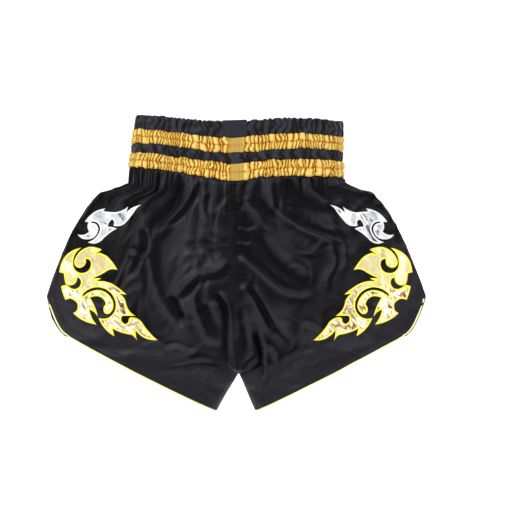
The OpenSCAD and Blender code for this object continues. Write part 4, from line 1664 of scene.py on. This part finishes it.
# Flame outlines round their own middles, clockwise, in mm. Each point is across, up and
# how far the line on to the next point bows outwards.
GOLD_FLAME = [
    (16, 55.5, 1.2), (33, 59, 3.4), (52, 42.5, 3.4), (45.5, 32, 3.6), (37, 44, -2.4),
    (30, 36.5, -3.3), (41.5, 25.5, -3.1), (54, 35.5, -3.6), (43.5, 58, 8.3),
    (72, 26.5, 0), (66, 25, 0.5), (63.5, 12, 1.8), (52.5, 11, 1.4), (48.5, 20, -2),
    (43, 12.5, -2.5), (52.5, 5, -0.9), (62, 10.5, 0.3), (69.5, 8.5, 0.7),
    (63.5, -9, -2.4), (50.5, -10.5, -1.2), (47, -17.5, -1.9), (53, -25.5, 2.9),
    (22, -40, -1.5), (31.5, -21, -1.5), (20.5, -30, 1.6), (31, -6, -0.8),
    (20, -4, -2.4), (10, -14.5, 0.9), (13, -21.5, 2.6), (5, -26, 2.6),
    (0.5, -11, 3.8), (20, 4, 2.1), (40, -4.5, 0), (41, -2, -2.5), (20, 7.5, -4.8),
    (-3, -11, -3.4), (5, -30.5, -1.5), (19, -31.5, 2.8), (-1.5, -54.5, 0),
    (1, -44.5, 1.4), (-23.5, -52.5, -0.8), (-30.5, -60, -0.5), (-28.5, -46.5, 4.4),
    (-56.5, -59, -1), (-38.5, -39.5, 2.3), (-24.5, -30.5, 0.8), (-20, -32.5, -1.6),
    (-15.5, -39, -2), (-10.5, -30.5, 0), (-12, -28.5, 0), (-28.5, -28.5, -2.2),
    (-16.5, -13, 2), (-7.5, -0.5, 0), (-17, -1.5, 0.5), (0, 11, 1.9), (23, 15, 0),
    (16, 19, 0), (27.5, 19, 0.6), (10, 27.5, -2), (-5, 29.5, 0.8), (8, 46.5, 0.6),
    (19.5, 51.5, 0), (25.5, 49, 0)]
WHITE_FLAME = [
    (-41, 19, 2.2), (-22, 9.5, -0.3), (-24, 17, -1.3), (-8, 10, -0.2), (9, 11.5, 0),
    (6, 15, 4.2), (33.5, -2, -0.5), (28, -3, 0.7), (29.5, -9, 0.5), (27, -14.5, -2.2),
    (42.5, -18, 1.9), (30.5, -24.5, 4.3), (15, -11.5, 2.9), (25, -3.5, 0),
    (24, -1.5, -3.4), (12.5, -11.5, -3.4), (29, -28, 3), (10.5, -26, -1.2),
    (-9.5, -11, 0.7), (2.5, -8.5, -1.4), (-3, 1, -2.2), (-5, -7, 2), (-20, -4.5, 0.4),
    (-32.5, 11, -1)]


def flame_loop(outline, gap):
    """Closed loop of points along a flame's bowed outline, a gap apart."""
    found = []
    for k, (x, z, bow) in enumerate(outline):
        a = np.array((x, z)) * MM
        b = np.array(outline[(k + 1) % len(outline)][:2]) * MM
        line = b - a
        length = np.linalg.norm(line)
        out = np.array((-line[1], line[0])) / length
        count = max(2, round(length / gap))
        for t in np.arange(count) / count:
            found.append(a + t * line + 4 * t * (1 - t) * bow * MM * out)
    return np.array(found)


def loop_distance(points, loop):
    """Distance of points from a closed loop, and the run along it at the nearest place."""
    ring = np.vstack([loop, loop[:1]])
    away, share = near_line(points, ring)
    total = np.linalg.norm(np.diff(ring, axis=0), axis=1).sum()
    return np.abs(away), share * total


def is_inside(points, loop):
    """True for each point inside a closed loop."""
    x, z = points[:, 0], points[:, 1]
    found = np.zeros(len(points), bool)
    for (ax, az), (bx, bz) in zip(loop, np.roll(loop, -1, axis=0)):
        crosses = (az > z) != (bz > z)
        at = (bx - ax) * (z - az) / (bz - az if bz != az else 1e-12) + ax
        found ^= crosses & (x < at)
    return found


def flame_net(outline, border):
    """Flat triangles inside a flame: points, faces, edge distance and run."""
    loop = flame_loop(outline, 1.0 * MM)
    step = np.roll(loop, -1, axis=0) - np.roll(loop, 1, axis=0)
    inward = unit_rows(np.stack([step[:, 1], -step[:, 0]], axis=-1))
    layers = []
    for depth in (0.15, 0.5, 0.85, 1.0):
        placed = loop + inward * border * depth
        away, _ = loop_distance(placed, loop)
        layers.append(placed[(away > border * depth * 0.93) & is_inside(placed, loop)])
    low, high = loop.min(axis=0), loop.max(axis=0)
    pitch = 2.6 * MM
    gx, gz = np.meshgrid(np.arange(low[0], high[0], pitch), np.arange(low[1], high[1], pitch))
    gx[1::2] += pitch / 2
    filler = np.stack([gx.ravel(), gz.ravel()], axis=-1)
    filler = filler[is_inside(filler, loop)]
    filler = filler[loop_distance(filler, loop)[0] > border * 1.4]
    free = np.concatenate(layers + [filler])
    everything = np.concatenate([loop, free])
    ring = list(range(len(loop)))
    edges = list(zip(ring, ring[1:] + ring[:1]))
    verts, _, faces, *_ = delaunay_2d_cdt([Vector(p) for p in everything], edges, [ring], 1, 1e-7)
    flat = np.array([tuple(p) for p in verts])
    middles = np.array([flat[f].mean(axis=0) for f in faces])
    kept = [f for f, inside in zip(faces, is_inside(middles, loop)) if inside]
    away, run = loop_distance(flat, loop)
    return flat, kept, away, run


def pressed_piece(name, flat, faces, height, base, tree, signs, place, material, extras):
    """A thin closed piece laid on a panel, from flat triangles and heights."""
    used = sorted({k for f in faces for k in f})
    new = {old: k for k, old in enumerate(used)}
    faces = [[new[k] for k in f] for f in faces]
    front = signs[1] < 0
    way = Vector((0, -1.0, 0)) if front else Vector((0, 1.0, 0))
    top, bottom = [], []
    for k in used:
        x = (place[0] + flat[k][0]) * signs[0]
        z = place[1] + flat[k][1]
        hit, normal, _, _ = tree.ray_cast(Vector((x, 0.3 if front else -0.3, z)), way)
        if hit is None:
            hit, normal, _, _ = tree.find_nearest(Vector((x, 0, z)))
        if normal.dot(way) > 0:
            normal = -normal
        lean = (normal - way).normalized()
        top.append(hit + lean * height[k])
        bottom.append(hit + lean * base)
    count = len(used)
    sides = {(a, b): None for f in faces for a, b in zip(f, f[1:] + f[:1])}
    rim = [(a, b) for a, b in sides if (b, a) not in sides]
    solid = faces + [[k + count for k in reversed(f)] for f in faces]
    solid += [[b, a, a + count, b + count] for a, b in rim]
    attributes = {label: np.tile(np.asarray(values)[used], 2) for label, values in extras.items()}
    return make_piece(name, np.array([tuple(p) for p in top + bottom]), solid, [material],
                      attributes)


class SHORTS_OT_flames(bpy.types.Operator):
    """Builds the flames on the four panels"""
    bl_idname = "shorts.flames"
    bl_label = "Flames"

    def execute(self, context):
        trim = context.scene.shorts_trim
        low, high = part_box("back_right_gold_flame_border")
        gold_place = ((low.x + high.x) / 2 - 7.6 * MM, (low.z + high.z) / 2 - 1.1 * MM)
        low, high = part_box("back_right_white_flame_border")
        white_place = ((low.x + high.x) / 2 - 0.75 * MM, (low.z + high.z) / 2 + 4.1 * MM)
        kinds = (
            ("gold", GOLD_FLAME, gold_place, "gold_foil", "gold_foil", "yellow_thread"),
            ("white", WHITE_FLAME, white_place, "white_foil", "silver_foil", "white_thread"))
        for colour, outline, place, foil_name, foil_slot, thread_name in kinds:
            flat, faces, away, run = flame_net(outline, trim.border)
            middles = np.array([away[f].mean() for f in faces])
            inner = [f for f, m in zip(faces, middles) if m > trim.border * 0.98]
            outer = [f for f, m in zip(faces, middles) if m <= trim.border * 0.98]
            ridge = np.sin(math.pi * clamped(away / trim.border * 0.92 + 0.04)) ** 0.6
            border_height = 0.3 * MM + trim.border_height * ridge
            foil_height = (0.5 + 0.22 * eased((away - trim.border) / (4 * MM))) * MM
            # Lower part of each flame: where the busy painted reflections go
            painted_reflection_zone = eased((14 * MM - flat[:, 1]) / (16 * MM))
            for key, stem in PANEL_NODES.items():
                tree = panel_tree(stem)
                signs = panel_signs(key)
                sheet = pressed_piece(
                    f"{stem}_{colour}_flame_foil", flat, inner, foil_height, 0.12 * MM, tree,
                    signs, place, finish_of(foil_name), {"painted_reflection_zone": painted_reflection_zone})
                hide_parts(f"{stem}_{colour}_flame")
                edging = pressed_piece(
                    f"{stem}_{colour}_flame_stitching", flat, outer, border_height, 0.1 * MM,
                    tree, signs, place, finish_of(thread_name), {"run": run})
                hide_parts(f"{stem}_{colour}_flame_border")
        return {"FINISHED"}


# ---- Stage ----

def area_light(name, place, target, size, power):
    """A soft square lamp aimed at a point."""
    lamp = bpy.data.lights.new(name, "AREA")
    lamp.shape = "SQUARE"
    lamp.size = size
    lamp.energy = power
    holder = bpy.data.objects.new(name, lamp)
    holder.location = place
    holder.rotation_euler = (Vector(target) - Vector(place)).to_track_quat("-Z", "Y").to_euler()
    bpy.context.collection.objects.link(holder)


FLOOR_GAP = 0.35  # how far the floor lies below the shorts

# Name, place in metres, size and power in watts of each lamp aimed at the shorts
LAMPS = (("key_light", (-1.5, -1.9, 1.3), 0.8, 56), ("fill_light", (1.5, -2.0, 0.9), 0.8, 28),
         ("top_light", (0.2, 0.1, 2.0), 1.6, 26), ("rear_light", (0.8, 2.4, 1.1), 1.4, 36))


class SHORTS_OT_stage(bpy.types.Operator):
    """Builds the pale floor, the soft lights and the camera"""
    bl_idname = "shorts.stage"
    bl_label = "Stage"

    def execute(self, context):
        lo, hi = CAD_BOX
        middle_z = (lo.z + hi.z) / 2
        self.floor(lo.z - FLOOR_GAP)
        for name, place, size, power in LAMPS:
            area_light(name, place, (0, 0, middle_z), size, power)
        for angle in np.arange(6) * math.tau / 6 + math.pi / 2:
            way = Vector((math.cos(angle), math.sin(angle), 0))
            power = 120 if way.y > 0.4 else 14
            area_light("backdrop_light", way * 2.6 + Vector((0, 0, 1.5)),
                       way * 6.5 + Vector((0, 0, -0.3)), 1.5, power)
        self.world()
        lens = bpy.data.cameras.new("camera")
        lens.lens = 135
        lens.sensor_width = 36
        lens.clip_start = 0.05
        camera = bpy.data.objects.new("camera", lens)
        camera.location = (0.0374, -2.56, middle_z)
        camera.rotation_euler = (math.pi / 2, 0, 0)
        context.collection.objects.link(camera)
        context.scene.camera = camera
        context.scene.view_settings.view_transform = "Standard"
        return {"FINISHED"}

    def floor(self, level):
        """A round floor whose rim curves up into a backdrop all the way round."""
        turns = 96
        section = [(0.01, 0.0), (1.5, 0.0), (3.5, 0.0), (5.0, 0.0)]
        section += [(5.0 + 1.6 * math.sin(a), 1.6 * (1 - math.cos(a)))
                    for a in np.linspace(0.15, math.pi / 2, 10)]
        section.append((6.6, 4.5))
        angle = np.linspace(0, math.tau, turns, endpoint=False)
        points = [(r * math.cos(a), r * math.sin(a), level + z) for r, z in section for a in angle]
        faces = grid_faces(len(section), turns, wrap_cols=True)[:, ::-1].tolist()
        faces.append(list(range(turns)))
        mesh = bpy.data.meshes.new("floor")
        mesh.from_pydata(points, [], faces)
        mesh.shade_smooth()
        made, tree, shader = base_material("pale_floor")
        shader.inputs["Specular IOR Level"].default_value = 0.1
        noise = add(tree, "ShaderNodeTexNoise", Scale=3.0, Detail=2.0)
        tree.links.new(blended(tree, noise.outputs["Fac"], (0.93, 0.93, 0.93, 1),
                               (0.96, 0.96, 0.96, 1)), shader.inputs["Base Color"])
        roughened(tree, shader, noise.outputs["Fac"], 0.1, 0.7)
        mesh.materials.append(made)
        floor = bpy.data.objects.new("floor", mesh)
        bpy.context.collection.objects.link(floor)

    def world(self):
        """Even pale light from all round."""
        world = bpy.data.worlds.new("studio")
        world.use_nodes = True
        back = world.node_tree.nodes["Background"]
        back.inputs["Color"].default_value = (0.97, 0.98, 1.0, 1)
        back.inputs["Strength"].default_value = 0.42
        bpy.context.scene.world = world


class SHORTS_PT_panel(bpy.types.Panel):
    """Lists the pieces of the shorts in the sidebar"""
    bl_idname = "SHORTS_PT_panel"
    bl_label = "Boxing Shorts"
    bl_space_type = "VIEW_3D"
    bl_region_type = "UI"
    bl_category = "Shorts"

    def draw(self, context):
        for operator in OPERATORS:
            self.layout.operator(operator.bl_idname)
        for label, _ in GROUPS:
            sizes = getattr(context.scene, label)
            for name in sizes.bl_rna.properties.keys():
                if name not in ("rna_type", "name"):
                    self.layout.prop(sizes, name)


OPERATORS = (SHORTS_OT_body_panels, SHORTS_OT_gusset, SHORTS_OT_band_rows,
             SHORTS_OT_band_inside, SHORTS_OT_piping, SHORTS_OT_flames, SHORTS_OT_stage)
GROUPS = (("shorts_band", BandSizes), ("shorts_body", BodySizes), ("shorts_trim", TrimSizes),
          ("shorts_colours", Colours))


def register():
    for label, group in GROUPS:
        bpy.utils.register_class(group)
        setattr(bpy.types.Scene, label, PointerProperty(type=group))
    for operator in OPERATORS:
        bpy.utils.register_class(operator)
    bpy.utils.register_class(SHORTS_PT_panel)


def unregister():
    bpy.utils.unregister_class(SHORTS_PT_panel)
    for operator in reversed(OPERATORS):
        bpy.utils.unregister_class(operator)
    for label, group in reversed(GROUPS):
        delattr(bpy.types.Scene, label)
        bpy.utils.unregister_class(group)


def main():
    register()
    bpy.ops.shorts.body_panels()
    bpy.ops.shorts.gusset()
    bpy.ops.shorts.band_rows()
    bpy.ops.shorts.band_inside()
    bpy.ops.shorts.piping()
    bpy.ops.shorts.flames()
    bpy.ops.shorts.stage()


if __name__ == "__main__":
    main()
